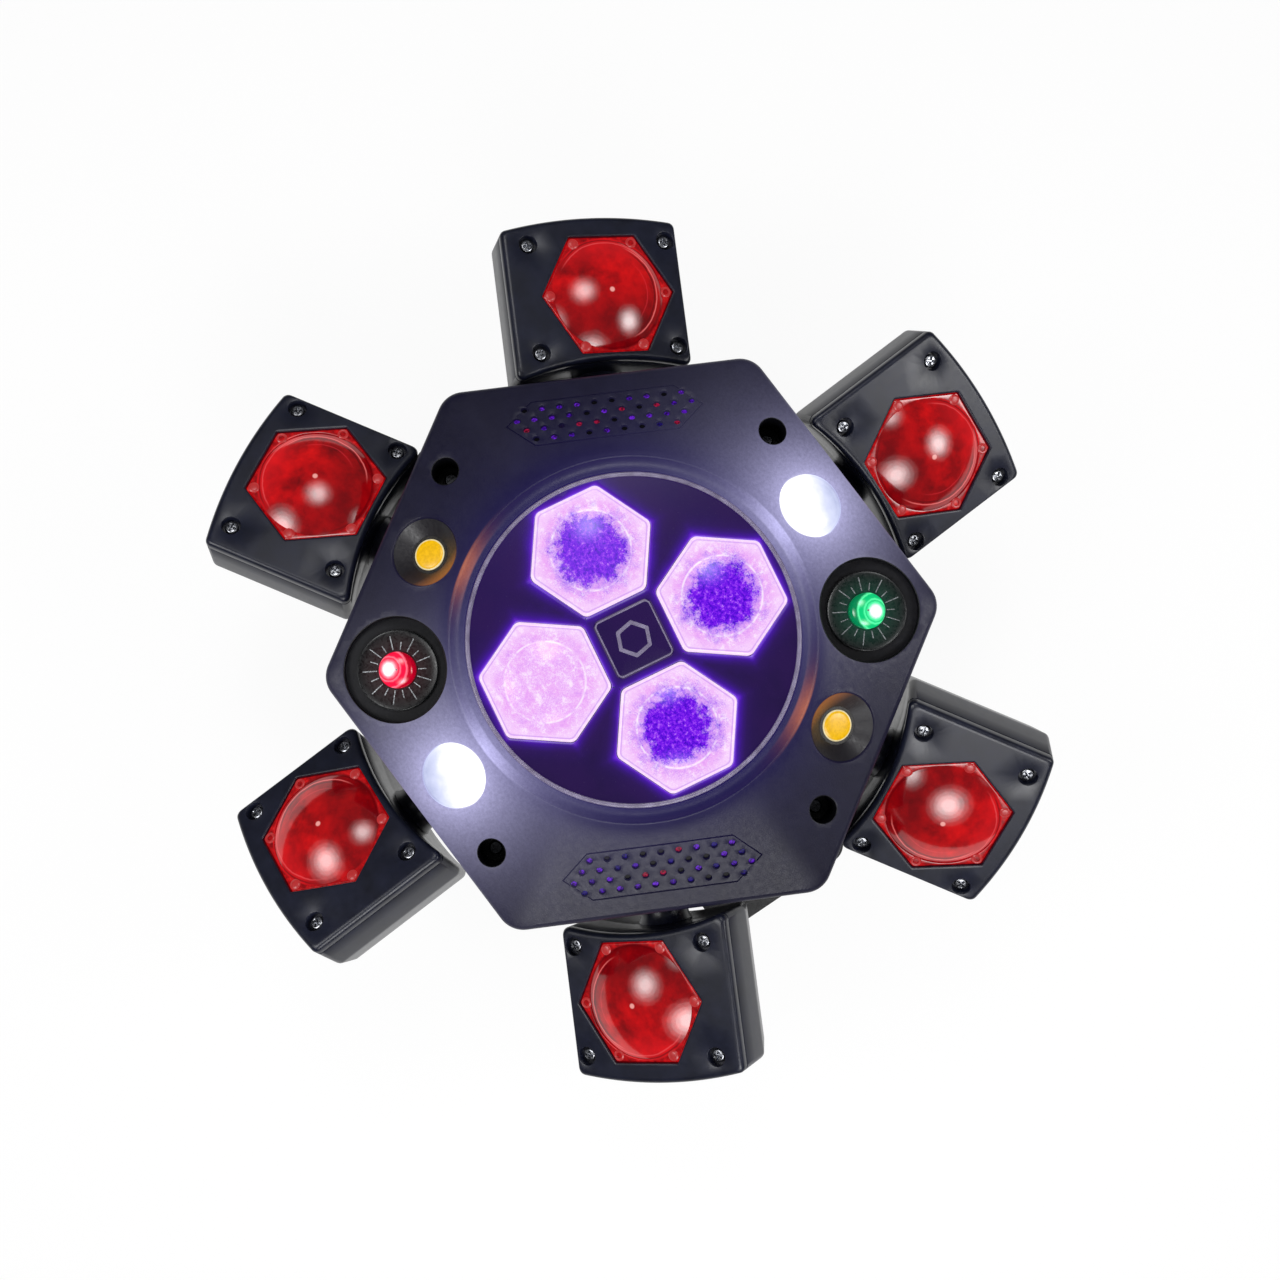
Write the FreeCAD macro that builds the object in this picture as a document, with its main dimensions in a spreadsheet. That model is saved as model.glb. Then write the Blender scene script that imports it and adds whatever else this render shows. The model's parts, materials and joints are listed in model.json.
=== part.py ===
import FreeCAD, Part
import math
import os
import re
import Sketcher
from FreeCAD import Placement, Rotation, Vector

# Bee eye laser light: a six-armed stage light with a spinning four-lens disc.
# Origin: middle of the footprint, on the floor. +Z is up, the lit face looks up,
# the control panel faces -Y and the sockets face +Y. Lengths are millimetres.

doc = FreeCAD.newDocument("BeeEyeLaserLight")

SIZES = {
    # General fits and walls
    "overrun": 1.0,
    "seat_gap": 0.3,
    "running_gap": 0.1,
    "match_gap": 0.01,
    "shell_wall": 3.0,
    # Rubber feet and hanging strap
    "foot_height": 9.0,
    "foot_radius": 9.5,
    "foot_taper": 1.5,
    "foot_inset": 18.0,
    "strap_length": 304.0,
    "strap_width": 82.0,
    "strap_thick": 3.0,
    "strap_corner": 10.0,
    "strap_hole_radius": 6.0,
    "strap_hole_spacing": 260.0,
    # Base box
    "base_length": 190.0,
    "base_width": 140.0,
    "base_height": 50.0,
    "base_corner": 12.0,
    "base_wall": 2.5,
    "base_edge": 2.0,
    "plate_thick": 2.0,
    # Pan drive: hollow spindle with its belt wheel, stepper motor and belt
    "spindle_radius": 20.0,
    "spindle_bore": 10.0,
    "spindle_flange": 34.0,
    "bearing_wall": 5.0,
    "wheel_radius": 30.0,
    "wheel_rim": 1.5,
    "wheel_width": 8.0,
    "wheel_flange": 1.0,
    "wheel_lift": 3.0,
    "motor_margin": 9.5,
    "pulley_radius": 8.0,
    "belt_thick": 1.2,
    "belt_width": 6.0,
    # Stepper motors, one size for the six arms, the disc and the pan
    "motor_side": 42.0,
    "motor_length": 28.0,
    "motor_corner": 4.0,
    "shaft_radius": 2.5,
    "pilot_radius": 11.0,
    "pilot_height": 2.0,
    # Control panel
    "panel_height": 27.0,
    "window_length": 40.0,
    "window_height": 15.0,
    "window_offset": 32.0,
    "display_recess": 1.0,
    "display_depth": 8.0,
    "board_thick": 1.6,
    "board_margin": 5.0,
    "button_radius": 4.0,
    "button_stand": 2.5,
    "button_flange": 1.5,
    "button_rim": 1.5,
    "button_travel": 1.2,
    "button_spacing": 14.0,
    "button_start": 12.0,
    "switch_side": 6.0,
    "post_radius": 3.0,
    "button_edge": 0.8,
    # Mains inlet
    "inlet_margin": 3.5,
    "inlet_length": 27.0,
    "inlet_height": 19.0,
    "inlet_depth": 20.0,
    "inlet_ear": 11.0,
    "socket_flange": 2.0,
    "inlet_wall": 2.0,
    "inlet_cavity": 18.0,
    "blade_length": 11.0,
    "blade_width": 4.0,
    "blade_thick": 2.0,
    "blade_spacing": 7.0,
    "blade_rise": 2.0,
    # Control sockets
    "dmx_offset": 8.0,
    "dmx_spacing": 40.0,
    "dmx_radius": 11.0,
    "dmx_flange_length": 26.0,
    "dmx_flange_height": 31.0,
    "dmx_cavity": 9.0,
    "dmx_cavity_depth": 16.0,
    "pin_radius": 1.2,
    "pin_circle": 4.5,
    "pin_length": 10.0,
    "pin_hole_radius": 1.7,
    # Power supply board
    "supply_length": 50.0,
    "supply_width": 96.0,
    "supply_margin": 5.5,
    "supply_lift": 4.0,
    "transformer_side": 26.0,
    "transformer_height": 20.0,
    "capacitor_radius": 6.5,
    "capacitor_height": 22.0,
    "sink_thick": 3.0,
    "sink_height": 18.0,
    # Turret housing: rear shell below the parting line, front housing above it
    "pan_rest": 3.77,
    "neck_gap": 7.0,
    "thrust_gap": 0.4,
    "shell_height": 58.0,
    "skirt_height": 22.0,
    "facet_rise": 16.0,
    "edge_apothem": 116.7,
    "edge_corner": 12.0,
    "skirt_draft": 2.0,
    "parting_step": 1.2,
    "shell_taper": 29.5,
    "ring_radius": 78.0,
    "ring_corner_angle": 19.0,
    "lip_radius": 77.0,
    "lip_depth": 3.5,
    "well_depth": 12.0,
    "pillar_radius": 4.0,
    "pillar_place": 16.0,
    # Screws of the turret, reached through four round shafts in the front housing
    "access_place": 108.7,
    "access_angle": 10.9,
    "access_radius": 5.9,
    "access_wall": 2.0,
    "access_floor": 3.0,
    "cover_screw_length": 18.0,
    # Spinning lens disc
    "disc_radius": 71.2,
    "disc_gap": 0.5,
    "disc_sink": 4.0,
    "disc_thick": 3.0,
    "disc_rim_width": 1.9,
    "disc_rim_rise": 1.5,
    "disc_rest": 18.8,
    "bee_place": 41.6,
    "bee_radius": 28.3,
    "bee_flange": 2.0,
    "bee_stand": 1.5,
    "bee_crown": 2.5,
    "bee_crown_margin": 2.0,
    "bee_cone_radius": 20.0,
    "bee_cone_tip": 6.0,
    "bee_cone_length": 10.0,
    "badge_side": 27.0,
    "badge_thick": 1.5,
    "badge_corner": 3.0,
    "disc_board_radius": 62.0,
    "disc_board_drop": 15.0,
    "disc_led_side": 8.0,
    "spacer_place": 58.0,
    "hub_radius": 9.0,
    "hub_length": 10.0,
    "hub_lift": 4.0,
    # Lights in the slanted facets
    "strobe_place": 96.0,
    "strobe_radius": 14.0,
    "strobe_crown": 5.0,
    "strobe_flange": 2.0,
    "strobe_flange_rim": 2.5,
    "amber_place": 97.0,
    "amber_cup_radius": 15.0,
    "amber_cup_foot": 8.2,
    "amber_cup_depth": 6.0,
    "amber_radius": 9.5,
    "amber_thick": 1.5,
    "amber_eye_radius": 6.3,
    "amber_eye_height": 0.6,
    "cup_wall": 2.0,
    # Lasers at two corners of the housing
    "laser_place": 102.0,
    "laser_cup_radius": 22.4,
    "laser_cup_sink": 17.0,
    "laser_body_radius": 10.0,
    "laser_body_length": 24.0,
    "laser_dome_radius": 7.9,
    "laser_dome_rise": 2.5,
    "laser_dome_crown": 3.0,
    "laser_fin_rim": 3.0,
    "laser_fin_thick": 2.0,
    "star_radius": 17.4,
    "star_thick": 1.5,
    "star_line_depth": 0.4,
    "star_line_width": 0.7,
    "star_line_long": 6.2,
    "star_line_short": 3.6,
    "star_line_start": 8.9,
    # Vent grilles in two facets
    "grille_place": 97.5,
    "grille_length": 86.0,
    "grille_width": 22.4,
    "grille_tip": 12.0,
    "grille_line": 0.6,
    "grille_hole_radius": 1.4,
    "grille_hole_pitch": 7.6,
    "grille_row_pitch": 4.9,
    "grille_board_drop": 12.0,
    "grille_led_side": 3.0,
    # Arms: the turning lamp heads and their necks
    "arm_rise": 25.0,
    "head_inner": 129.0,
    "head_outer": 195.0,
    "head_high_side": 45.6,
    "head_low_side": 36.7,
    "head_front": 34.0,
    "head_side": 24.0,
    "head_back": 26.0,
    "head_back_inset": 15.0,
    "head_wall": 2.5,
    "head_end_draft": 1.0,
    "bezel_thick": 5.0,
    "bezel_edge": 1.0,
    "neck_radius": 11.0,
    "neck_collar": 3.0,
    "collar_thick": 3.7,
    "arm_bearing_start": 88.0,
    "arm_bearing_length": 16.0,
    "arm_bearing_wall": 5.0,
    "arm_motor_gap": 4.0,
    "arm_shaft_length": 18.0,
    "lens_place": 159.0,
    "lens_shift": -1.1,
    "lens_radius": 30.7,
    "lens_flange": 2.0,
    "lens_flange_rim": 2.0,
    "lens_sink": 0.9,
    "lens_dome_radius": 25.6,
    "lens_crown": 7.2,
    "lens_hollow_radius": 24.6,
    "lens_pad_place": 27.3,
    "lens_pad_radius": 2.5,
    "lens_pad_height": 0.7,
    "reflector_mouth": 24.5,
    "reflector_foot": 5.0,
    "reflector_wall": 1.0,
    "led_board_radius": 20.0,
    "led_sink_radius": 16.0,
    "led_sink_height": 17.5,
    "led_side": 4.0,
    "led_height": 2.0,
    # Cross-head screws
    "screw_inner_place": 133.3,
    "screw_outer_place": 182.9,
    "screw_shift": 1.2,
    "screw_half_spacing": 32.35,
    "screw_sink": 4.0,
    "screw_sink_radius": 4.2,
    "screw_head_radius": 3.0,
    "screw_head_height": 2.0,
    "screw_radius": 1.5,
    "screw_length": 15.0,
    "screw_edge": 0.8,
    "screw_slot_width": 0.9,
    "screw_slot_length": 3.8,
    "screw_slot_depth": 1.2,
    "screw_boss_radius": 4.2,
    "screw_boss_depth": 32.0,
}

LEVELS = {
    # Heights and reaches worked out from the sizes, bottom to top
    "base_floor": "foot_height + plate_thick",
    "base_top": "foot_height + base_height",
    "base_ceiling": "base_top - base_wall",
    "wheel_bottom": "base_floor + wheel_lift",
    "wheel_top": "wheel_bottom + wheel_width + 2 * wheel_flange",
    "bearing_bottom": "wheel_top + thrust_gap",
    "turret_floor": "base_top + neck_gap",
    "arm_height": "turret_floor + arm_rise",
    "parting_height": "turret_floor + shell_height",
    "edge_height": "parting_height + skirt_height",
    "ring_height": "edge_height + facet_rise",
    "disc_top": "ring_height - disc_sink",
    "disc_bottom": "disc_top - disc_thick",
    "disc_board_top": "disc_bottom - disc_board_drop",
    "hub_bottom": "disc_board_top - board_thick - hub_length",
    "disc_motor_top": "hub_bottom - hub_lift",
    "laser_cup_floor": "ring_height - laser_cup_sink",
    "panel_middle": "foot_height + panel_height",
    "drive_distance": "base_length / 2 - base_wall - motor_side / 2 - motor_margin",
    "supply_offset": "base_length / 2 - base_wall - supply_length / 2 - supply_margin",
    "inlet_offset": "base_length / 2 - base_corner - inlet_length / 2 - inlet_ear - inlet_margin",
    "front_inside": "base_width / 2 - base_wall",
    "button_back": "front_inside - seat_gap - button_flange",
    "switch_front": "button_back - button_travel - seat_gap",
    "control_board_front": "base_width / 2 - display_recess - display_depth",
    "arm_motor_face": "arm_bearing_start - seat_gap - collar_thick - arm_motor_gap",
    "bezel_bottom": "head_front - bezel_thick",
    "head_side_bottom": "head_front - head_side",
    "casing_floor": "head_wall - head_back",
    "screw_seat": "head_front - screw_sink",
    "lens_front": "head_front - lens_sink",
    "lens_back": "bezel_bottom - lens_flange",
    "reflector_bottom": "casing_floor + led_sink_height + board_thick / 2",
    "reflector_height": "lens_back - seat_gap - reflector_bottom",
    "facet_slope": "atan(facet_rise / (edge_apothem - ring_radius))",
}


def point_at_sheets(text):
    """Point every size name in a formula at the sheet that holds it."""
    def home(found):
        word = found.group(0)
        if word in SIZES:
            return "Sizes." + word
        if word in LEVELS:
            return "Levels." + word
        return word
    return re.sub(r"[a-z][a-z_0-9]*", home, text)


def fill_sheet(name, cells):
    """A sheet with one aliased cell for each entry."""
    sheet = doc.addObject("Spreadsheet::Sheet", name)
    for row, (alias, text) in enumerate(cells, start=1):
        cell = "A%d" % row
        sheet.set(cell, text)
        sheet.setAlias(cell, alias)
    doc.recompute()
    return sheet


sizes_sheet = fill_sheet("Sizes", [(alias, str(number)) for alias, number in SIZES.items()])
levels_sheet = fill_sheet("Levels", [(a, "=" + point_at_sheets(text)) for a, text in LEVELS.items()])


def size(alias):
    """The number that a sheet holds under this name."""
    sheet = sizes_sheet if alias in SIZES else levels_sheet
    held = sheet.get(alias)
    return float(held.Value) if hasattr(held, "Value") else float(held)


# Shape makers: each binds its sizes and its place to the sheets

QUARTER_TURN = 90
SIDES = 6
FACE_ANGLE = 360 / SIDES
HALF_FACE_ANGLE = FACE_ANGLE / 2
UPRIGHT = Rotation()
ALONG_X = Rotation(Vector(0, 1, 0), QUARTER_TURN)
ALONG_Y = Rotation(Vector(1, 0, 0), -QUARTER_TURN)
TURN_Z = Vector(0, 0, 1)
ORIGIN = ("0", "0", "0")
UPRIGHT_SHARE = 0.99

# How many of each repeated thing
BUTTONS = 4
BEE_LENSES = 4
STAR_RAYS = 18
LASER_FINS = 5
GRILLE_ROWS = (9, 10, 11, 10)
GRILLE_LEDS = 7
SOCKET_PIN_ANGLES = (0, 90, 180)


def bind(thing, **formulas):
    for name, text in formulas.items():
        thing.setExpression(name, point_at_sheets(text))
    return thing


def seat(thing, place, rotation=UPRIGHT):
    thing.Placement = Placement(Vector(), rotation)
    for axis, text in zip("xyz", place):
        thing.setExpression(".Placement.Base." + axis, point_at_sheets(text))
    return thing


def block(length, width, height, place=ORIGIN):
    """A box centred on its place in plan and standing on it."""
    box = bind(doc.addObject("Part::Box", "Block"), Length=length, Width=width, Height=height)
    left = "%s - (%s) / 2" % (place[0], length)
    near = "%s - (%s) / 2" % (place[1], width)
    return seat(box, (left, near, place[2]))


def rod(radius, height, place=ORIGIN, rotation=UPRIGHT):
    cylinder = bind(doc.addObject("Part::Cylinder", "Rod"), Radius=radius, Height=height)
    return seat(cylinder, place, rotation)


def cone(low_radius, high_radius, height, place=ORIGIN, rotation=UPRIGHT):
    shape = doc.addObject("Part::Cone", "Cone")
    return seat(bind(shape, Radius1=low_radius, Radius2=high_radius, Height=height), place, rotation)


def hexagon(circumradius, height, place=ORIGIN, flats_along_x=True):
    """A six-sided prism; its flats or its corners face along X."""
    prism = doc.addObject("Part::Prism", "Hexagon")
    prism.Polygon = SIDES
    turn = Rotation(TURN_Z, HALF_FACE_ANGLE) if flats_along_x else UPRIGHT
    return seat(bind(prism, Circumradius=circumradius, Height=height), place, turn)


def dome(base_radius, crown, place):
    """A round cap of the given base radius and crown height, standing on its place."""
    ball_radius = "((%s) ^ 2 + (%s) ^ 2) / (2 * (%s))" % (base_radius, crown, crown)
    ball = bind(doc.addObject("Part::Sphere", "Ball"), Radius=ball_radius)
    seat(ball, (place[0], place[1], "%s + %s - %s" % (place[2], crown, ball_radius)))
    return common(ball, rod(base_radius, "%s + overrun" % crown, place))


def join(*things):
    fusion = doc.addObject("Part::MultiFuse", "Join")
    fusion.Shapes = list(things)
    return fusion


def common(first, second):
    overlap = doc.addObject("Part::Common", "Common")
    overlap.Base = first
    overlap.Tool = second
    return overlap


def cut(base, *tools):
    remainder = doc.addObject("Part::Cut", "Cut")
    remainder.Base = base
    remainder.Tool = tools[0] if len(tools) == 1 else join(*tools)
    return remainder


def group(*things):
    """Several things kept as separate solids."""
    bundle = doc.addObject("Part::Compound", "Group")
    bundle.Links = list(things)
    return bundle


def copy_at(thing, placement):
    """The same piece once more, at another placement."""
    twin = group(thing)
    twin.Placement = placement
    return twin


def outline(body, plane_role, corners):
    """A closed sketch whose corners are bound to formulas."""
    sketch = body.newObject("Sketcher::SketchObject", "Outline")
    plane = [f for f in body.Origin.OriginFeatures if f.Role == plane_role][0]
    sketch.AttachmentSupport = [(plane, "")]
    sketch.MapMode = "FlatFace"
    count = len(corners)
    start = [Rotation(TURN_Z, 360.0 * k / count).multVec(Vector(size("wheel_radius"), 0, 0))
             for k in range(count)]
    for k in range(count):
        sketch.addGeometry(Part.LineSegment(start[k], start[(k + 1) % count]), False)
    for k in range(count):
        sketch.addConstraint(Sketcher.Constraint("Coincident", k, 2, (k + 1) % count, 1))
    for k, corner in enumerate(corners):
        for kind, axis, text in (("DistanceX", -2, corner[0]), ("DistanceY", -1, corner[1])):
            if text == "0":
                sketch.addConstraint(Sketcher.Constraint("PointOnObject", k, 1, axis))
                continue
            number = start[k].x if kind == "DistanceX" else start[k].y
            datum = sketch.addConstraint(Sketcher.Constraint(kind, -1, 1, k, 1, number))
            sketch.setExpression("Constraints[%d]" % datum, point_at_sheets(text))
    return sketch


def turned_body(corners):
    """A turned piece: its half section, as radius and height, swept round Z."""
    body = doc.addObject("PartDesign::Body", "Turned")
    sketch = outline(body, "XZ_Plane", corners)
    sweep = body.newObject("PartDesign::Revolution", "Revolution")
    sweep.Profile = sketch
    sweep.ReferenceAxis = (sketch, ["V_Axis"])
    sketch.Visibility = False
    doc.recompute()
    return body


def bar_body(corners, length):
    """A bar along X whose section, as Y and Z, is the outline."""
    body = doc.addObject("PartDesign::Body", "Bar")
    sketch = outline(body, "YZ_Plane", corners)
    pad = body.newObject("PartDesign::Pad", "Pad")
    pad.Profile = sketch
    bind(pad, Length=length)
    doc.recompute()
    return body


def plate_body(length, width, height, corner, lift, top_edge=None, holes=()):
    """A plate padded up from its rectangle, with round corners, drilled where holes say."""
    body = doc.addObject("PartDesign::Body", "Plate")
    half = ("(%s) / 2" % length, "(%s) / 2" % width)
    corners = [(sx + half[0], sy + half[1]) for sx, sy in (("-", "-"), ("", "-"), ("", ""), ("-", ""))]
    sketch = outline(body, "XY_Plane", corners)
    pad = body.newObject("PartDesign::Pad", "Pad")
    pad.Profile = sketch
    bind(pad, Length=height)
    doc.recompute()
    upright = ["Edge%d" % (k + 1) for k, e in enumerate(pad.Shape.Edges)
               if abs(e.tangentAt(e.FirstParameter).z) > UPRIGHT_SHARE]
    rounded = body.newObject("PartDesign::Fillet", "Corners")
    rounded.Base = (pad, upright)
    bind(rounded, Radius=corner)
    doc.recompute()
    if top_edge:
        top = max(face.CenterOfMass.z for face in rounded.Shape.Faces)
        rim = ["Face%d" % (k + 1) for k, face in enumerate(rounded.Shape.Faces)
               if abs(face.CenterOfMass.z - top) < size("match_gap")]
        soft = body.newObject("PartDesign::Fillet", "TopEdge")
        soft.Base = (rounded, rim)
        bind(soft, Radius=top_edge)
        doc.recompute()
    if holes:
        spots = body.newObject("Sketcher::SketchObject", "Holes")
        plane = [f for f in body.Origin.OriginFeatures if f.Role == "XY_Plane"][0]
        spots.AttachmentSupport = [(plane, "")]
        spots.MapMode = "FlatFace"
        for k, (along, radius) in enumerate(holes):
            side = 1 if k % 2 else -1
            rough = size("strap_hole_radius")
            spots.addGeometry(Part.Circle(Vector(side * rough, 0, 0), TURN_Z, rough), False)
            spots.addConstraint(Sketcher.Constraint("PointOnObject", k, 3, -1))
            datum = spots.addConstraint(Sketcher.Constraint("DistanceX", -1, 1, k, 3, side * rough))
            spots.setExpression("Constraints[%d]" % datum, point_at_sheets(along))
            datum = spots.addConstraint(Sketcher.Constraint("Radius", k, rough))
            spots.setExpression("Constraints[%d]" % datum, point_at_sheets(radius))
        drilled = body.newObject("PartDesign::Pocket", "Drilled")
        drilled.Profile = spots
        drilled.Type = "ThroughAll"
        drilled.Reversed = True
        doc.recompute()
    seat(body, ("0", "0", lift))
    return body


def soften(thing, radius, picked):
    """Round the picked edges of a finished shape."""
    doc.recompute()
    numbers = [k + 1 for k, edge in enumerate(thing.Shape.Edges) if picked(edge)]
    fillet = doc.addObject("Part::Fillet", "Soft")
    fillet.Base = thing
    fillet.Edges = [(k, size(radius), size(radius)) for k in numbers]
    return fillet


nodes = {}


def node(name, thing, placement=None):
    """Name a finished piece; its label names its file."""
    thing.Label = name
    if placement is not None:
        thing.Placement = placement
    nodes[name] = thing
    return thing


def about_z(angle):
    return Placement(Vector(), Rotation(TURN_Z, angle))


def arm_turn(index):
    """The turn that brings a piece from +X to one of the six arms."""
    return about_z(HALF_FACE_ANGLE + FACE_ANGLE * index)


def polar(radius, angle):
    """Formulas for the X and Y of a place at a radius and an angle."""
    return "(%s) * cos(%s)" % (radius, angle), "(%s) * sin(%s)" % (radius, angle)


turret_turn = about_z(size("pan_rest"))


# Rubber feet and hanging strap

def rubber_feet():
    feet = []
    for side_x in ("-", ""):
        for side_y in ("-", ""):
            place = (side_x + "(base_length / 2 - foot_inset)",
                     side_y + "(base_width / 2 - foot_inset)", "0")
            feet.append(cone("foot_radius - foot_taper", "foot_radius", "foot_height", place))
    node("rubber_feet", group(*feet))


def hanging_strap():
    holes = [("-strap_hole_spacing / 2", "strap_hole_radius"),
             ("strap_hole_spacing / 2", "strap_hole_radius")]
    strap = plate_body("strap_length", "strap_width", "strap_thick", "strap_corner",
                       "foot_height - strap_thick", holes=holes)
    node("hanging_strap", strap)


# Base box

def base_plate():
    node("base_plate", plate_body("base_length", "base_width", "plate_thick", "base_corner",
                                  "foot_height"))


def button_place(index):
    return "(button_start + %d * button_spacing)" % index


def base_shell():
    outer = plate_body("base_length", "base_width", "base_height - plate_thick", "base_corner",
                       "base_floor", top_edge="base_edge")
    inner = plate_body("base_length - 2 * base_wall", "base_width - 2 * base_wall",
                       "base_height - plate_thick - base_wall + overrun",
                       "base_corner - base_wall", "base_floor - overrun")
    bearing = rod("spindle_radius + bearing_wall", "base_ceiling - bearing_bottom + base_wall / 2",
                  ("0", "0", "bearing_bottom"))
    board_posts = [rod("post_radius", "front_inside - control_board_front + base_wall / 2",
                       (x, "-front_inside - base_wall / 2", z), ALONG_Y)
                   for x in ("-window_offset - window_length / 2 - board_margin",
                             "button_start + %d * button_spacing" % BUTTONS)
                   for z in ("panel_middle",)]
    bore = rod("spindle_radius + running_gap", "base_height", ("0", "0", "foot_height + base_wall"))
    wall_depth = "base_wall + 2 * overrun"
    front = "-base_width / 2 - overrun"
    window = block("window_length + 2 * seat_gap", wall_depth, "window_height + 2 * seat_gap",
                   ("-window_offset", "-front_inside", "panel_middle - window_height / 2 - seat_gap"))
    button_holes = [rod("button_radius + seat_gap", wall_depth,
                        (button_place(k), front, "panel_middle"), ALONG_Y) for k in range(BUTTONS)]
    inlet_hole = block("inlet_length + 2 * seat_gap", wall_depth, "inlet_height + 2 * seat_gap",
                       ("-inlet_offset", "front_inside + base_wall / 2",
                        "panel_middle - inlet_height / 2 - seat_gap"))
    socket_holes = [rod("dmx_radius + seat_gap", wall_depth,
                        ("dmx_offset + %d * dmx_spacing" % k, "front_inside - overrun", "panel_middle"),
                        ALONG_Y) for k in range(2)]
    hollow = join(cut(outer, inner), bearing, *board_posts)
    node("base_shell", cut(hollow, bore, window, inlet_hole, *button_holes, *socket_holes))


# Pan drive

def belt_wheel_section(bore, radius):
    """Half section of a flanged belt wheel, from its bore outwards."""
    flange = "%s + wheel_rim" % radius
    low = "wheel_bottom + wheel_flange"
    high = "wheel_top - wheel_flange"
    return [(bore, "wheel_bottom"), (flange, "wheel_bottom"), (flange, low), (radius, low),
            (radius, high), (flange, high), (flange, "wheel_top")]


def pan_spindle():
    section = belt_wheel_section("spindle_bore", "wheel_radius")
    section += [("spindle_radius", "wheel_top"), ("spindle_radius", "base_top + thrust_gap"),
                ("spindle_flange", "base_top + thrust_gap"), ("spindle_flange", "turret_floor"),
                ("spindle_bore", "turret_floor")]
    node("pan_spindle", group(turned_body(section)), turret_turn)


def motor_pulley():
    bore = "shaft_radius + running_gap"
    section = belt_wheel_section(bore, "pulley_radius") + [(bore, "wheel_top")]
    node("motor_pulley", seat(turned_body(section), ("drive_distance", "0", "0")))


def stepper(shaft_length, pilot=True):
    """A square stepper motor: face at its own origin, shaft along +Z, body below."""
    side = size("motor_side") / 2
    can = block("motor_side", "motor_side", "motor_length", ("0", "0", "-motor_length"))
    trimmed = soften(can, "motor_corner",
                     lambda edge: edge.Length > side and abs(edge.tangentAt(0).z) > UPRIGHT_SHARE)
    shaft = rod("shaft_radius", shaft_length + " + overrun", ("0", "0", "-overrun"))
    if pilot:
        return join(trimmed, shaft, rod("pilot_radius", "pilot_height + overrun", ("0", "0", "-overrun")))
    return join(trimmed, shaft)


def pan_motor():
    motor = stepper("base_ceiling - motor_length - wheel_bottom", pilot=False)
    face_down = Placement(Vector(size("drive_distance"), 0, size("base_ceiling") - size("motor_length")),
                          Rotation(Vector(1, 0, 0), 180))
    node("pan_motor", motor, face_down)


def belt_loop(offset):
    """The outline of an open belt round both wheels, the given distance off them."""
    big = size("wheel_radius") + offset
    small = size("pulley_radius") + offset
    reach = size("drive_distance")
    touch = math.acos((big - small) / reach)

    def on_circle(middle, radius, angle):
        return Vector(middle + radius * math.cos(angle), radius * math.sin(angle), 0)
    big_arc = Part.Arc(on_circle(0, big, touch), on_circle(0, big, math.pi), on_circle(0, big, -touch))
    small_arc = Part.Arc(on_circle(reach, small, -touch), on_circle(reach, small, 0),
                         on_circle(reach, small, touch))
    lower = Part.LineSegment(on_circle(0, big, -touch), on_circle(reach, small, -touch))
    upper = Part.LineSegment(on_circle(reach, small, touch), on_circle(0, big, touch))
    return Part.Face(Part.Wire([part.toShape() for part in (big_arc, lower, small_arc, upper)]))


def pan_belt():
    belt = doc.addObject("Part::Feature", "Belt")
    inside = size("seat_gap")
    ring = belt_loop(inside + size("belt_thick")).cut(belt_loop(inside))
    belt.Shape = ring.Faces[0].extrude(Vector(0, 0, size("belt_width")))
    belt_bottom = (size("wheel_bottom") + size("wheel_top") - size("belt_width")) / 2
    node("pan_belt", belt, Placement(Vector(0, 0, belt_bottom), Rotation()))


# Control panel and sockets

def control_board():
    face = "control_board_front"
    board_left = "-window_offset - window_length / 2 - 2 * board_margin"
    board_right = "button_start + %d * button_spacing + board_margin" % BUTTONS
    board = block("(%s) - (%s)" % (board_right, board_left), "board_thick",
                  "window_height + 2 * board_margin",
                  ("((%s) + (%s)) / 2" % (board_right, board_left), "-%s + board_thick / 2" % face,
                   "panel_middle - window_height / 2 - board_margin"))
    glass = block("window_length", "display_depth", "window_height",
                  ("-window_offset", "-%s - display_depth / 2" % face, "panel_middle - window_height / 2"))
    switches = [block("switch_side", "switch_front - %s" % face, "switch_side",
                      (button_place(k), "-(switch_front + %s) / 2" % face, "panel_middle - switch_side / 2"))
                for k in range(BUTTONS)]
    node("display_board", join(board, glass, *switches))


def menu_buttons():
    match = size("match_gap")
    for index in range(BUTTONS):
        x = button_place(index)
        flange = rod("button_radius + button_rim", "button_flange",
                     (x, "-button_back - button_flange", "panel_middle"), ALONG_Y)
        cap = rod("button_radius", "base_width / 2 + button_stand - button_back",
                  (x, "-base_width / 2 - button_stand", "panel_middle"), ALONG_Y)
        tip = -size("base_width") / 2 - size("button_stand")
        rounded = soften(cap, "button_edge", lambda edge: abs(edge.CenterOfMass.y - tip) < match)
        node("menu_button_%d" % (index + 1), join(rounded, flange))


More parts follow.
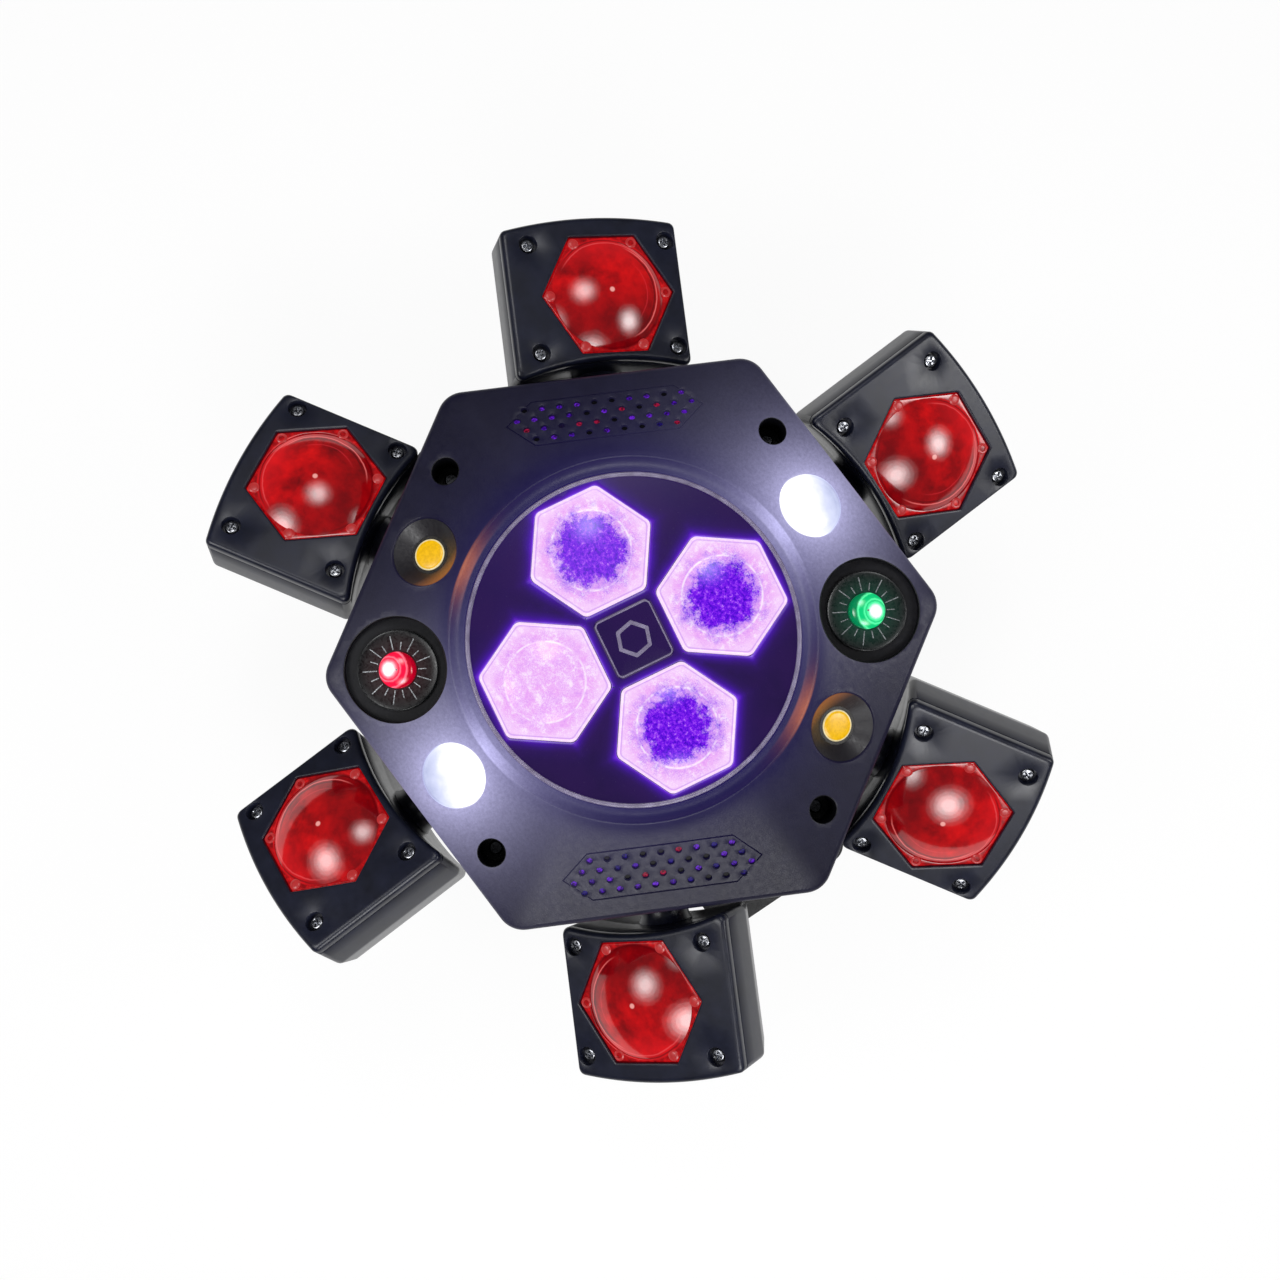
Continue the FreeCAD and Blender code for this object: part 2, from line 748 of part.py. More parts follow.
def power_inlet():
    rear = "front_inside + base_wall - inlet_depth"
    cavity_floor = "base_width / 2 + socket_flange - inlet_cavity"
    body = block("inlet_length", "inlet_depth", "inlet_height",
                 ("-inlet_offset", "%s + inlet_depth / 2" % rear, "panel_middle - inlet_height / 2"))
    flange = block("inlet_length + 2 * inlet_ear", "socket_flange", "inlet_height + 2 * base_wall",
                   ("-inlet_offset", "base_width / 2 + socket_flange / 2",
                    "panel_middle - inlet_height / 2 - base_wall"))
    cavity = block("inlet_length - 2 * inlet_wall", "inlet_cavity + overrun",
                   "inlet_height - 2 * inlet_wall",
                   ("-inlet_offset", "%s + (inlet_cavity + overrun) / 2" % cavity_floor,
                    "panel_middle - inlet_height / 2 + inlet_wall"))
    blades = []
    blade_places = (("-blade_spacing", "-blade_rise"), ("0", "blade_rise"), ("blade_spacing", "-blade_rise"))
    for across, up in blade_places:
        blades.append(block("blade_thick", "blade_length + inlet_wall / 2", "blade_width",
                            ("-inlet_offset + %s" % across,
                             "%s + blade_length / 2 - inlet_wall / 4" % cavity_floor,
                             "panel_middle - blade_width / 2 + %s" % up)))
    holes = [rod("screw_radius + running_gap", "socket_flange + 2 * overrun",
                 ("-inlet_offset + %s(inlet_length + inlet_ear) / 2" % side,
                  "base_width / 2 - overrun", "panel_middle"), ALONG_Y) for side in ("-", "")]
    node("power_inlet", join(cut(join(body, flange), cavity, *holes), *blades))


def dmx_socket(index):
    x = "(dmx_offset + %d * dmx_spacing)" % index
    face = "base_width / 2 + socket_flange"
    barrel = rod("dmx_radius", "inlet_depth + socket_flange / 2",
                 (x, "base_width / 2 - inlet_depth", "panel_middle"), ALONG_Y)
    flange = block("dmx_flange_length", "socket_flange", "dmx_flange_height",
                   (x, "base_width / 2 + socket_flange / 2", "panel_middle - dmx_flange_height / 2"))
    body = join(barrel, flange)
    pin_places = []
    for angle in SOCKET_PIN_ANGLES:
        across, up = polar("pin_circle", str(angle))
        pin_places.append(("%s + %s" % (x, across), "panel_middle + %s" % up))
    if index == 0:
        floor = "%s - dmx_cavity_depth" % face
        cavity = rod("dmx_cavity", "dmx_cavity_depth + overrun", (x, floor, "panel_middle"), ALONG_Y)
        pins = [rod("pin_radius", "pin_length + overrun", (px, "%s - overrun" % floor, pz), ALONG_Y)
                for px, pz in pin_places]
        return join(cut(body, cavity), *pins)
    holes = [rod("pin_hole_radius", "pin_length + overrun", (px, "%s - pin_length" % face, pz), ALONG_Y)
             for px, pz in pin_places]
    return cut(body, *holes)


def power_supply():
    middle = "-supply_offset"
    top = "base_floor + supply_lift + board_thick"
    board = block("supply_length", "supply_width", "board_thick", (middle, "0", "base_floor + supply_lift"))
    posts = [rod("post_radius", "supply_lift + board_thick / 2",
                 ("%s %s (supply_length / 2 - board_margin)" % (middle, sx),
                  "%s(supply_width / 2 - board_margin)" % sy, "base_floor"))
             for sx in ("-", "+") for sy in ("-", "")]
    transformer = block("transformer_side", "transformer_side", "transformer_height + board_thick / 2",
                        (middle, "-transformer_side / 2", "%s - board_thick / 2" % top))
    capacitors = [rod("capacitor_radius", "capacitor_height + board_thick / 2",
                      ("%s %s supply_length / 4" % (middle, side), "supply_width / 4",
                       "%s - board_thick / 2" % top)) for side in ("-", "+")]
    sink = block("supply_length - 2 * board_margin", "sink_thick", "sink_height + board_thick / 2",
                 (middle, "supply_width / 2 - 2 * board_margin - sink_thick", "%s - board_thick / 2" % top))
    node("power_supply", join(board, transformer, sink, *posts, *capacitors))


# Turret housing

def hexagon_wire(apothem, corner, height):
    """A hexagon with round corners, its first corner at 0 degrees."""
    reach = (apothem - corner) / math.cos(math.radians(HALF_FACE_ANGLE))
    edges = []
    ends = []
    for k in range(SIDES):
        spots = []
        for swing in (-HALF_FACE_ANGLE, 0, HALF_FACE_ANGLE):
            middle = Rotation(TURN_Z, FACE_ANGLE * k).multVec(Vector(reach, 0, height))
            arm = Rotation(TURN_Z, FACE_ANGLE * k + swing).multVec(Vector(corner, 0, 0))
            spots.append(middle + arm)
        ends.append(spots)
    for k in range(SIDES):
        edges.append(Part.Arc(*ends[k]).toShape())
        edges.append(Part.LineSegment(ends[k][2], ends[(k + 1) % SIDES][0]).toShape())
    return Part.Wire(edges)


def ring_wire(radius, corner_angle, height):
    """A circle in arcs that pair off with the edges of a hexagon wire."""
    def spot(angle):
        return Rotation(TURN_Z, angle).multVec(Vector(radius, 0, height))
    edges = []
    for k in range(SIDES):
        corner = FACE_ANGLE * k
        start = corner - corner_angle
        end = corner + corner_angle
        edges.append(Part.Arc(spot(start), spot(corner), spot(end)).toShape())
        edges.append(Part.Arc(spot(end), spot(corner + HALF_FACE_ANGLE), spot(start + FACE_ANGLE)).toShape())
    return Part.Wire(edges)


def lofted(name, wires):
    thing = doc.addObject("Part::Feature", name)
    thing.Shape = Part.makeLoft(wires, True, True)
    return thing


def front_form(name, inset, drop):
    """The front housing as a solid: skirt, slanted facets and round ring."""
    corner = size("edge_corner") - inset
    low = size("edge_apothem") - size("skirt_draft") - inset
    wires = [hexagon_wire(low, corner, size("parting_height") - drop),
             hexagon_wire(size("edge_apothem") - inset, corner, size("edge_height") - inset / 2),
             ring_wire(size("ring_radius") - inset / 2, size("ring_corner_angle"),
                       size("ring_height") - inset)]
    return lofted(name, wires)


def rear_form(name, inset, floor_rise, drop):
    """The rear shell as a solid: a six-sided tub that narrows to its floor."""
    corner = size("edge_corner") - inset
    top = size("edge_apothem") - size("skirt_draft") - size("parting_step") - inset
    slant = size("shell_taper") / size("shell_height")
    wires = [hexagon_wire(top - size("shell_taper") + floor_rise * slant, corner,
                          size("turret_floor") + floor_rise),
             hexagon_wire(top + drop * slant, corner, size("parting_height") + drop)]
    return lofted(name, wires)


FACET_ANGLES = {"amber": (30, 210), "strobe": (90, 270), "grille": (150, 330)}
LASER_ANGLES = (60, 240)
SCREW_CORNERS = ((0, 1), (120, -1), (180, 1), (300, -1))


def on_facet(angle, place):
    """The frame of a facet light: origin on the facet, Z square to it, X down the slope."""
    radius = size(place)
    fall = (radius - size("ring_radius")) * math.tan(math.radians(size("facet_slope")))
    swing = Placement(Vector(), Rotation(TURN_Z, angle))
    out = Placement(Vector(radius, 0, size("ring_height") - fall),
                    Rotation(Vector(0, 1, 0), size("facet_slope")))
    return swing.multiply(out)


def screw_angles():
    return ["%d + %d * access_angle" % (corner, side) for corner, side in SCREW_CORNERS]


def grille_holes(angle):
    """Staggered rows of vent holes through one facet, inner row first."""
    drills = []
    for row, count in enumerate(GRILLE_ROWS):
        down = (row - (len(GRILLE_ROWS) - 1) / 2) * size("grille_row_pitch")
        for k in range(count):
            along = (k - (count - 1) / 2) * size("grille_hole_pitch")
            start = Vector(down, along, -2 * size("shell_wall"))
            drills.append(Part.makeCylinder(size("grille_hole_radius"), 4 * size("shell_wall"), start))
    tool = doc.addObject("Part::Feature", "VentHoles")
    tool.Shape = Part.makeCompound(drills)
    tool.Placement = on_facet(angle, "grille_place")
    return tool


def grille_outline(angle):
    """The fine groove round one vent field: a long hexagon with pointed ends."""
    half_width = size("grille_width") / 2
    half_length = size("grille_length") / 2
    tip = size("grille_tip")

    def loop(inset):
        shoulder = half_length - tip
        corners = [Vector(-half_width + inset, -shoulder, 0), Vector(0, -half_length + inset, 0),
                   Vector(half_width - inset, -shoulder, 0), Vector(half_width - inset, shoulder, 0),
                   Vector(0, half_length - inset, 0), Vector(-half_width + inset, shoulder, 0)]
        return Part.Face(Part.makePolygon(corners + corners[:1]))
    line = size("grille_line")
    groove = loop(0).cut(loop(line)).Faces[0].extrude(Vector(0, 0, 2 * line))
    groove.translate(Vector(0, 0, -line))
    tool = doc.addObject("Part::Feature", "VentOutline")
    tool.Shape = groove
    tool.Placement = on_facet(angle, "grille_place")
    return tool


def front_housing():
    outer = front_form("FrontOuter", 0, 0)
    inner = front_form("FrontInner", size("shell_wall"), size("overrun"))
    well = rod("lip_radius", "well_depth + overrun", ("0", "0", "ring_height - well_depth"))
    stiffeners = [well]
    openings = [
        rod("disc_radius + disc_gap", "2 * well_depth", ("0", "0", "ring_height - 1.5 * well_depth")),
        cone("disc_radius + disc_gap", "lip_radius", "lip_depth", ("0", "0", "ring_height - lip_depth")),
    ]
    for angle in LASER_ANGLES:
        x, y = polar("laser_place", str(angle))
        floor = "laser_cup_floor - shell_wall"
        stiffeners.append(rod("laser_cup_radius + cup_wall", "laser_cup_sink + shell_wall", (x, y, floor)))
        openings.append(rod("laser_cup_radius", "laser_cup_sink + overrun", (x, y, "laser_cup_floor")))
        openings.append(rod("laser_dome_radius + seat_gap", "laser_cup_sink", (x, y, floor + " - overrun")))
    for angle in screw_angles():
        x, y = polar("access_place", angle)
        stiffeners.append(rod("access_radius + access_wall", "skirt_height + facet_rise",
                              (x, y, "parting_height")))
        openings.append(rod("access_radius", "skirt_height + facet_rise",
                            (x, y, "parting_height + access_floor")))
        openings.append(rod("screw_radius + running_gap", "skirt_height",
                            (x, y, "parting_height - overrun")))
    for angle in FACET_ANGLES["amber"]:
        cup = rod("amber_cup_radius + cup_wall", "amber_cup_depth + 2 * amber_thick",
                  ("0", "0", "-amber_cup_depth - 2 * amber_thick"))
        stiffeners.append(copy_at(cup, on_facet(angle, "amber_place")))
        slant = join(cone("amber_cup_foot", "amber_cup_radius", "amber_cup_depth",
                          ("0", "0", "-amber_cup_depth")),
                     rod("amber_cup_radius", "facet_rise"),
                     rod("amber_radius + running_gap", "well_depth",
                         ("0", "0", "-amber_cup_depth - well_depth")))
        openings.append(copy_at(slant, on_facet(angle, "amber_place")))
    for angle in FACET_ANGLES["strobe"]:
        hole = join(rod("strobe_radius + seat_gap", "facet_rise", ("0", "0", "-facet_rise / 2")),
                    rod("strobe_radius + strobe_flange_rim + seat_gap", "well_depth",
                        ("0", "0", "-well_depth - shell_wall")))
        openings.append(copy_at(hole, on_facet(angle, "strobe_place")))
    for angle in FACET_ANGLES["grille"]:
        posts = join(*[rod("post_radius", "grille_board_drop - shell_wall / 2",
                           ("0", side + "(grille_length / 2 - grille_tip)", "-grille_board_drop"))
                       for side in ("-", "")])
        stiffeners.append(copy_at(posts, on_facet(angle, "grille_place")))
        openings.append(grille_holes(angle))
        openings.append(grille_outline(angle))
    hollow = join(cut(outer, inner), common(outer, join(*stiffeners)))
    node("front_housing", cut(hollow, *openings), turret_turn)


def rear_shell():
    outer = rear_form("RearOuter", 0, 0, 0)
    inner = rear_form("RearInner", size("shell_wall"), size("shell_wall"), size("overrun"))
    floor_top = "turret_floor + shell_wall"
    pillars = []
    for side_x in ("-", ""):
        for side_y in ("-", ""):
            pillars.append(rod("pillar_radius",
                               "disc_motor_top - motor_length - turret_floor - shell_wall / 2",
                               (side_x + "pillar_place", side_y + "pillar_place",
                                "turret_floor + shell_wall / 2")))
    holes = [rod("spindle_bore", "shell_height", ("0", "0", "turret_floor - overrun"))]
    bosses = []
    for angle in screw_angles():
        x, y = polar("access_place", angle)
        bosses.append(rod("screw_boss_radius", "shell_height / 2", (x, y, "turret_floor + shell_height / 2")))
        holes.append(rod("screw_radius + running_gap", "cover_screw_length",
                         (x, y, "parting_height + access_floor - cover_screw_length - overrun")))
    bearings = []
    for k in range(SIDES):
        turn = arm_turn(k)
        bearing = join(rod("neck_radius + arm_bearing_wall", "arm_bearing_length",
                           ("arm_bearing_start", "0", "arm_height"), ALONG_X),
                       block("motor_side - 2 * motor_corner", "motor_side - 2 * motor_corner",
                             "arm_rise - motor_side / 2 - shell_wall / 2",
                             ("arm_motor_face - motor_length / 2", "0", "turret_floor + shell_wall / 2")))
        bearings.append(copy_at(bearing, turn))
        hole = rod("neck_radius + running_gap", "2 * arm_bearing_length",
                   ("arm_bearing_start - overrun", "0", "arm_height"), ALONG_X)
        holes.append(copy_at(hole, turn))
        collar_room = rod("neck_radius + neck_collar + seat_gap", "arm_bearing_start - arm_motor_face",
                          ("arm_motor_face", "0", "arm_height"), ALONG_X)
        holes.append(copy_at(collar_room, turn))
    hollow = join(cut(outer, inner), common(outer, join(*bosses)), *pillars, *bearings)
    node("rear_shell", cut(hollow, *holes), turret_turn)


def cross_screw(length):
    """A pan-head screw with a cross recess: seat at its origin, shank down."""
    head = rod("screw_head_radius", "screw_head_height")
    shank = rod("screw_radius", length + " + overrun / 2", ("0", "0", "-(%s)" % length))
    top = "screw_head_height - screw_slot_depth"
    slots = [block("screw_slot_length", "screw_slot_width", "screw_slot_depth + overrun", ("0", "0", top)),
             block("screw_slot_width", "screw_slot_length", "screw_slot_depth + overrun", ("0", "0", top))]
    edge_height = size("screw_head_height") - size("match_gap")
    rounded = soften(head, "screw_edge", lambda edge: edge.CenterOfMass.z > edge_height)
    return cut(join(rounded, shank), *slots)


def cover_screws():
    screw = cross_screw("cover_screw_length")
    height = size("parting_height") + size("access_floor")
    screws = []
    for corner, side in SCREW_CORNERS:
        angle = corner + side * size("access_angle")
        spot = Rotation(TURN_Z, angle).multVec(Vector(size("access_place"), 0, height))
        screws.append(copy_at(screw, Placement(spot, Rotation())))
    node("cover_screws", group(*screws), turret_turn)


def arm_motors():
    motor = stepper("arm_shaft_length")
    face = Placement(Vector(size("arm_motor_face"), 0, size("arm_height")), ALONG_X)
    motors = [copy_at(motor, arm_turn(k).multiply(face)) for k in range(SIDES)]
    node("arm_motors", group(*motors), turret_turn)


def disc_motor():
    motor = stepper("hub_lift + hub_length - overrun")
    lift = Placement(Vector(0, 0, size("disc_motor_top")), Rotation())
    node("disc_motor", motor, turret_turn.multiply(lift))


# Lasers and facet lights

def laser_modules():
    underside = "laser_cup_floor - shell_wall"
    modules = []
    for angle in LASER_ANGLES:
        x, y = polar("laser_place", str(angle))
        body = rod("laser_body_radius", "laser_body_length", (x, y, underside + " - laser_body_length"))
        fins = [rod("laser_body_radius + laser_fin_rim", "laser_fin_thick",
                    (x, y, underside + " - laser_body_length + %d * 2 * laser_fin_thick" % k))
                for k in range(LASER_FINS)]
        top = "laser_cup_floor + laser_dome_rise"
        barrel = rod("laser_dome_radius", "shell_wall + laser_dome_rise + overrun",
                     (x, y, underside + " - overrun"))
        modules.append(join(body, barrel, dome("laser_dome_radius", "laser_dome_crown", (x, y, top)), *fins))
    node("laser_modules", group(*modules), turret_turn)


def star_discs():
    ring = rod("star_radius", "star_thick")
    bore = rod("laser_dome_radius + seat_gap", "star_thick + 2 * overrun", ("0", "0", "-overrun"))
    lines = []
    for k in range(STAR_RAYS):
        reach = "star_line_short" if k % 2 else "star_line_long"
        line = block(reach, "star_line_width", "star_line_depth + overrun",
                     ("star_line_start + %s / 2" % reach, "0", "star_thick - star_line_depth"))
        lines.append(copy_at(line, about_z(360 / STAR_RAYS * k)))
    star = cut(ring, bore, *lines)
    discs = []
    for angle in LASER_ANGLES:
        spot = Rotation(TURN_Z, angle).multVec(Vector(size("laser_place"), 0, size("laser_cup_floor")))
        discs.append(copy_at(star, Placement(spot, Rotation())))
    node("laser_star_discs", group(*discs), turret_turn)


def strobe_lenses():
    lens = join(rod("strobe_radius", "shell_wall + strobe_flange", ("0", "0", "-shell_wall - strobe_flange")),
                rod("strobe_radius + strobe_flange_rim", "strobe_flange",
                    ("0", "0", "-shell_wall - strobe_flange")),
                dome("strobe_radius", "strobe_crown", ("0", "0", "0")))
    node("strobe_lenses", group(*[copy_at(lens, on_facet(a, "strobe_place"))
                                  for a in FACET_ANGLES["strobe"]]), turret_turn)


def amber_leds():
    led = join(rod("amber_radius", "amber_thick", ("0", "0", "-amber_cup_depth - amber_thick")),
               rod("amber_eye_radius", "amber_eye_height + amber_thick / 2",
                   ("0", "0", "-amber_cup_depth - amber_thick / 2")))
    node("amber_leds", group(*[copy_at(led, on_facet(a, "amber_place"))
                               for a in FACET_ANGLES["amber"]]), turret_turn)


def grille_boards():
    board = block("grille_width - 2 * grille_line", "grille_length - grille_tip", "board_thick",
                  ("0", "0", "-grille_board_drop - board_thick"))
    leds = [block("grille_led_side", "grille_led_side", "overrun + board_thick / 2",
                  ("%d * grille_row_pitch" % (1 if k % 2 else -1), "%d * grille_hole_pitch" % k,
                   "-grille_board_drop - board_thick / 2"))
            for k in range(-(GRILLE_LEDS // 2), GRILLE_LEDS // 2 + 1)]
    strip = join(board, *leds)
    node("grille_boards", group(*[copy_at(strip, on_facet(a, "grille_place"))
                                  for a in FACET_ANGLES["grille"]]), turret_turn)


# Spinning lens disc

disc_turn = about_z(size("pan_rest") + LASER_ANGLES[0] + size("disc_rest"))


def lens_disc():
    plate = rod("disc_radius", "disc_thick", ("0", "0", "disc_bottom"))
    rim = cut(rod("disc_radius", "disc_thick + disc_rim_rise", ("0", "0", "disc_bottom")),
              rod("disc_radius - disc_rim_width", "2 * disc_thick", ("0", "0", "disc_top - disc_thick / 2")))
    windows = []
    for k in range(BEE_LENSES):
        window = hexagon("bee_radius + seat_gap", "disc_thick + 2 * overrun",
                         ("bee_place", "0", "disc_bottom - overrun"))
        windows.append(copy_at(window, about_z(QUARTER_TURN * k)))
    node("lens_disc", cut(join(plate, rim), *windows), disc_turn)


def bee_lenses():
    spot = ("bee_place", "0")
    pane_top = "disc_top + bee_stand"
    pane = hexagon("bee_radius", "disc_thick + bee_stand", spot + ("disc_bottom",))
    flange = hexagon("bee_radius + bee_flange", "bee_flange", spot + ("disc_bottom - bee_flange",))
    crown = common(dome("bee_radius", "bee_crown", spot + (pane_top,)),
                   hexagon("bee_radius - bee_crown_margin", "bee_crown + overrun", spot + (pane_top,)))
    horn = cone("bee_cone_tip", "bee_cone_radius", "bee_cone_length",
                spot + ("disc_bottom - bee_flange - bee_cone_length",))
    lens = join(pane, flange, crown, horn)
    lenses = [copy_at(lens, about_z(QUARTER_TURN * k)) for k in range(BEE_LENSES)]
    node("bee_lenses", group(*lenses), disc_turn)


def centre_plate():
    plate = plate_body("badge_side", "badge_side", "badge_thick", "badge_corner", "disc_top")
    node("centre_plate", group(plate), disc_turn)


def disc_board():
    board = rod("disc_board_radius", "board_thick", ("0", "0", "disc_board_top - board_thick"))
    hub = rod("hub_radius", "hub_length + board_thick / 2", ("0", "0", "hub_bottom"))
    parts = [board, hub]
    led_height = "disc_board_drop - bee_flange - bee_cone_length - seat_gap"
    for k in range(BEE_LENSES):
        led = block("disc_led_side", "disc_led_side", led_height + " + board_thick / 2",
                    ("bee_place", "0", "disc_board_top - board_thick / 2"))
        spacer = rod("post_radius", "disc_board_drop + board_thick / 2",
                     ("spacer_place", "0", "disc_board_top - board_thick / 2"))
        parts.append(copy_at(led, about_z(QUARTER_TURN * k)))
        parts.append(copy_at(spacer, about_z(QUARTER_TURN * (k + 0.5))))
    bore = rod("shaft_radius + running_gap", "hub_length", ("0", "0", "hub_bottom - overrun"))
    node("disc_board", cut(join(*parts), bore), disc_turn)


# Arms

ARM_TWISTS = (29.9, 21.5, 14.5, 18.3, 28.7, 28.9)


def head_section(margin, top):
    """Section of a lamp head across its arm, drawn in by a margin, up to a top."""
    high = "head_high_side - %s" % margin
    low = "-(head_low_side - %s)" % margin
    floor = "-head_back + %s" % margin
    return [(low + " + head_back_inset", floor), (high + " - head_back_inset", floor),
            (high, "head_side_bottom"), (high, top), (low, top), (low, "head_side_bottom")]


def head_form(margin, top):
    """A lamp head as a solid between its two round ends, drawn in by a margin."""
    bar = bar_body(head_section(margin, top), "head_outer + overrun")
    depth = "head_front + head_back"
    outer_end = cone("head_outer - head_end_draft - %s" % margin, "head_outer - %s" % margin, depth,
                     ("0", "0", "-head_back"))
    inner_end = rod("head_inner + %s" % margin, "2 * (%s)" % depth, ("0", "0", "-(%s)" % depth))
    return common(bar, cut(outer_end, inner_end))


def screw_spots():
    return [(radial, "screw_shift " + side + " screw_half_spacing")
            for radial in ("screw_inner_place", "screw_outer_place") for side in ("-", "+")]


def head_casing():
    outer = head_form("0", "bezel_bottom")
    inner = head_form("head_wall", "bezel_bottom + overrun")
    bosses = [rod("screw_boss_radius", "screw_boss_depth", (x, y, "bezel_bottom - screw_boss_depth"))
              for x, y in screw_spots()]
    screw_holes = [rod("screw_radius + running_gap", "screw_length + overrun",
                       (x, y, "screw_seat - screw_length - overrun")) for x, y in screw_spots()]
    neck = rod("neck_radius", "head_inner + head_wall - arm_bearing_start + seat_gap",
               ("arm_bearing_start - seat_gap", "0", "0"), ALONG_X)
    collar = rod("neck_radius + neck_collar", "collar_thick",
                 ("arm_bearing_start - seat_gap - collar_thick", "0", "0"), ALONG_X)
    bore = rod("shaft_radius + running_gap", "arm_shaft_length",
               ("arm_bearing_start - seat_gap - collar_thick - overrun", "0", "0"), ALONG_X)
    shell = join(cut(outer, inner), common(outer, join(*bosses)), neck, collar)
    return cut(shell, bore, *screw_holes)


def head_bezel():
    slab = common(head_form("0", "head_front"),
                  block("2 * head_outer", "2 * head_outer", "bezel_thick", ("0", "0", "bezel_bottom")))
    window = hexagon("lens_radius + seat_gap", "bezel_thick + 2 * overrun",
                     ("lens_place", "lens_shift", "bezel_bottom - overrun"))
    sinks = [rod("screw_sink_radius", "screw_sink + overrun", (x, y, "screw_seat"))
             for x, y in screw_spots()]
    shank_holes = [rod("screw_radius + running_gap", "bezel_thick + overrun",
                       (x, y, "bezel_bottom - overrun")) for x, y in screw_spots()]
    front = size("head_front") - size("match_gap")
    edged = soften(slab, "bezel_edge", lambda edge: edge.BoundBox.ZMin > front)
    return cut(edged, window, *sinks, *shank_holes)


def head_lens():
    spot = ("lens_place", "lens_shift")
    pane = hexagon("lens_radius", "lens_front - bezel_bottom", spot + ("bezel_bottom",))
    flange = cut(hexagon("lens_radius + lens_flange_rim", "lens_flange", spot + ("lens_back",)),
                 rod("head_inner + head_wall + seat_gap", "lens_flange + 2 * overrun",
                     ("0", "0", "lens_back - overrun")))
    crown = dome("lens_dome_radius", "lens_crown", spot + ("lens_front",))
    pads = []
    for k in range(SIDES):
        along, across = polar("lens_pad_place", str(HALF_FACE_ANGLE + FACE_ANGLE * k))
        place = ("lens_place + " + along, "lens_shift + " + across, "bezel_bottom")
        pads.append(rod("lens_pad_radius", "lens_front - bezel_bottom + lens_pad_height", place))
    hollow = dome("lens_hollow_radius", "lens_crown", spot + ("lens_back - overrun / 2",))
    return cut(join(pane, flange, crown, *pads), hollow)


def head_led():
    spot = ("lens_place", "lens_shift")
    sink = rod("led_sink_radius", "led_sink_height", spot + ("casing_floor",))
    board = rod("led_board_radius", "board_thick", spot + ("casing_floor + led_sink_height",))
    chip = block("led_side", "led_side", "led_height + board_thick / 2", spot + ("reflector_bottom",))
    cup = cut(cone("reflector_foot", "reflector_mouth", "reflector_height", spot + ("reflector_bottom",)),
              cone("reflector_foot - reflector_wall", "reflector_mouth - reflector_wall",
                   "reflector_height + 2 * overrun", spot + ("reflector_bottom - overrun",)))
    return join(sink, board, chip, cup)


def head_screws():
    screw = cross_screw("screw_length")
    middle = size("screw_shift")
    across = size("screw_half_spacing")
    spots = [Vector(size(x), middle - across if "-" in y else middle + across, size("screw_seat"))
             for x, y in screw_spots()]
    return group(*[copy_at(screw, Placement(spot, Rotation())) for spot in spots])


def arms():
    pieces = {"casing": head_casing(), "bezel": head_bezel(), "lens": head_lens(),
              "led": head_led(), "screws": head_screws()}
    for k, twist in enumerate(ARM_TWISTS):
        swing = turret_turn.multiply(arm_turn(k))
        lift = Placement(Vector(0, 0, size("arm_height")), Rotation(Vector(1, 0, 0), twist))
        for part_name, piece in pieces.items():
            node("head_%s_%d" % (part_name, k + 1), group(piece), swing.multiply(lift))


rubber_feet()
hanging_strap()
base_plate()
base_shell()
pan_spindle()
motor_pulley()
pan_motor()
pan_belt()
control_board()
menu_buttons()
power_inlet()
node("dmx_sockets", group(dmx_socket(0), dmx_socket(1)))
power_supply()
front_housing()
rear_shell()
cover_screws()
arm_motors()
disc_motor()
laser_modules()
star_discs()
strobe_lenses()
amber_leds()
grille_boards()
lens_disc()
bee_lenses()
centre_plate()
disc_board()
arms()

doc.recompute()

for thing in doc.Objects:
    if "Invalid" in thing.State or "Error" in thing.State:
        raise RuntimeError("%s failed: %s" % (thing.Label, thing.State))
for name, thing in nodes.items():
    if thing.Shape.isNull() or not thing.Shape.isValid() or not thing.Shape.Solids:
        raise RuntimeError("%s has no valid solid" % name)

os.makedirs("parts", exist_ok=True)
for name, thing in nodes.items():
    thing.Shape.exportStep(os.path.join("parts", name + ".step"))
print(len(nodes), "pieces,", sum(len(thing.Shape.Solids) for thing in nodes.values()), "solids")
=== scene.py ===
import json
import math

import bmesh
import bpy
import numpy as np
from mathutils import Matrix, Vector
from mathutils.geometry import delaunay_2d_cdt

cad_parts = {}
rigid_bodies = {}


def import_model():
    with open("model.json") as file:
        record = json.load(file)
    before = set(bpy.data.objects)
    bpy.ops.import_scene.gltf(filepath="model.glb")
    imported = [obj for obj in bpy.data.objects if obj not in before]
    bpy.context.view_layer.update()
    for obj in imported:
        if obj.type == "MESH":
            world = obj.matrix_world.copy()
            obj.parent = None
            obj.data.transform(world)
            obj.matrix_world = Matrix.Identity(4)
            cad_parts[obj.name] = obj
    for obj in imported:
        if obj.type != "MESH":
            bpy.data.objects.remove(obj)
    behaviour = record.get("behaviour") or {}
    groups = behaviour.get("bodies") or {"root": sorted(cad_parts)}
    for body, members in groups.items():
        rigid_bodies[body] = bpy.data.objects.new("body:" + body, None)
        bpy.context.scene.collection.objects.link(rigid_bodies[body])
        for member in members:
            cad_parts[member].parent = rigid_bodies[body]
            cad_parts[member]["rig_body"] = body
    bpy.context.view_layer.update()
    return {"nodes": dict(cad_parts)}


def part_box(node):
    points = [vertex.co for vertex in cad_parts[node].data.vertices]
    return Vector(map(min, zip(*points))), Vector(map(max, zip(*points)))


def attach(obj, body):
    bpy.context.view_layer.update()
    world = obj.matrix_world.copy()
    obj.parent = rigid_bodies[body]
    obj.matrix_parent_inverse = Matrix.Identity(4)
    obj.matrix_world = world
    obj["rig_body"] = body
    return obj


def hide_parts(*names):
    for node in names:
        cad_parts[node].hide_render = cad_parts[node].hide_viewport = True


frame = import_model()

scene = bpy.context.scene

# Sizes of the light in millimetres, and angles in degrees

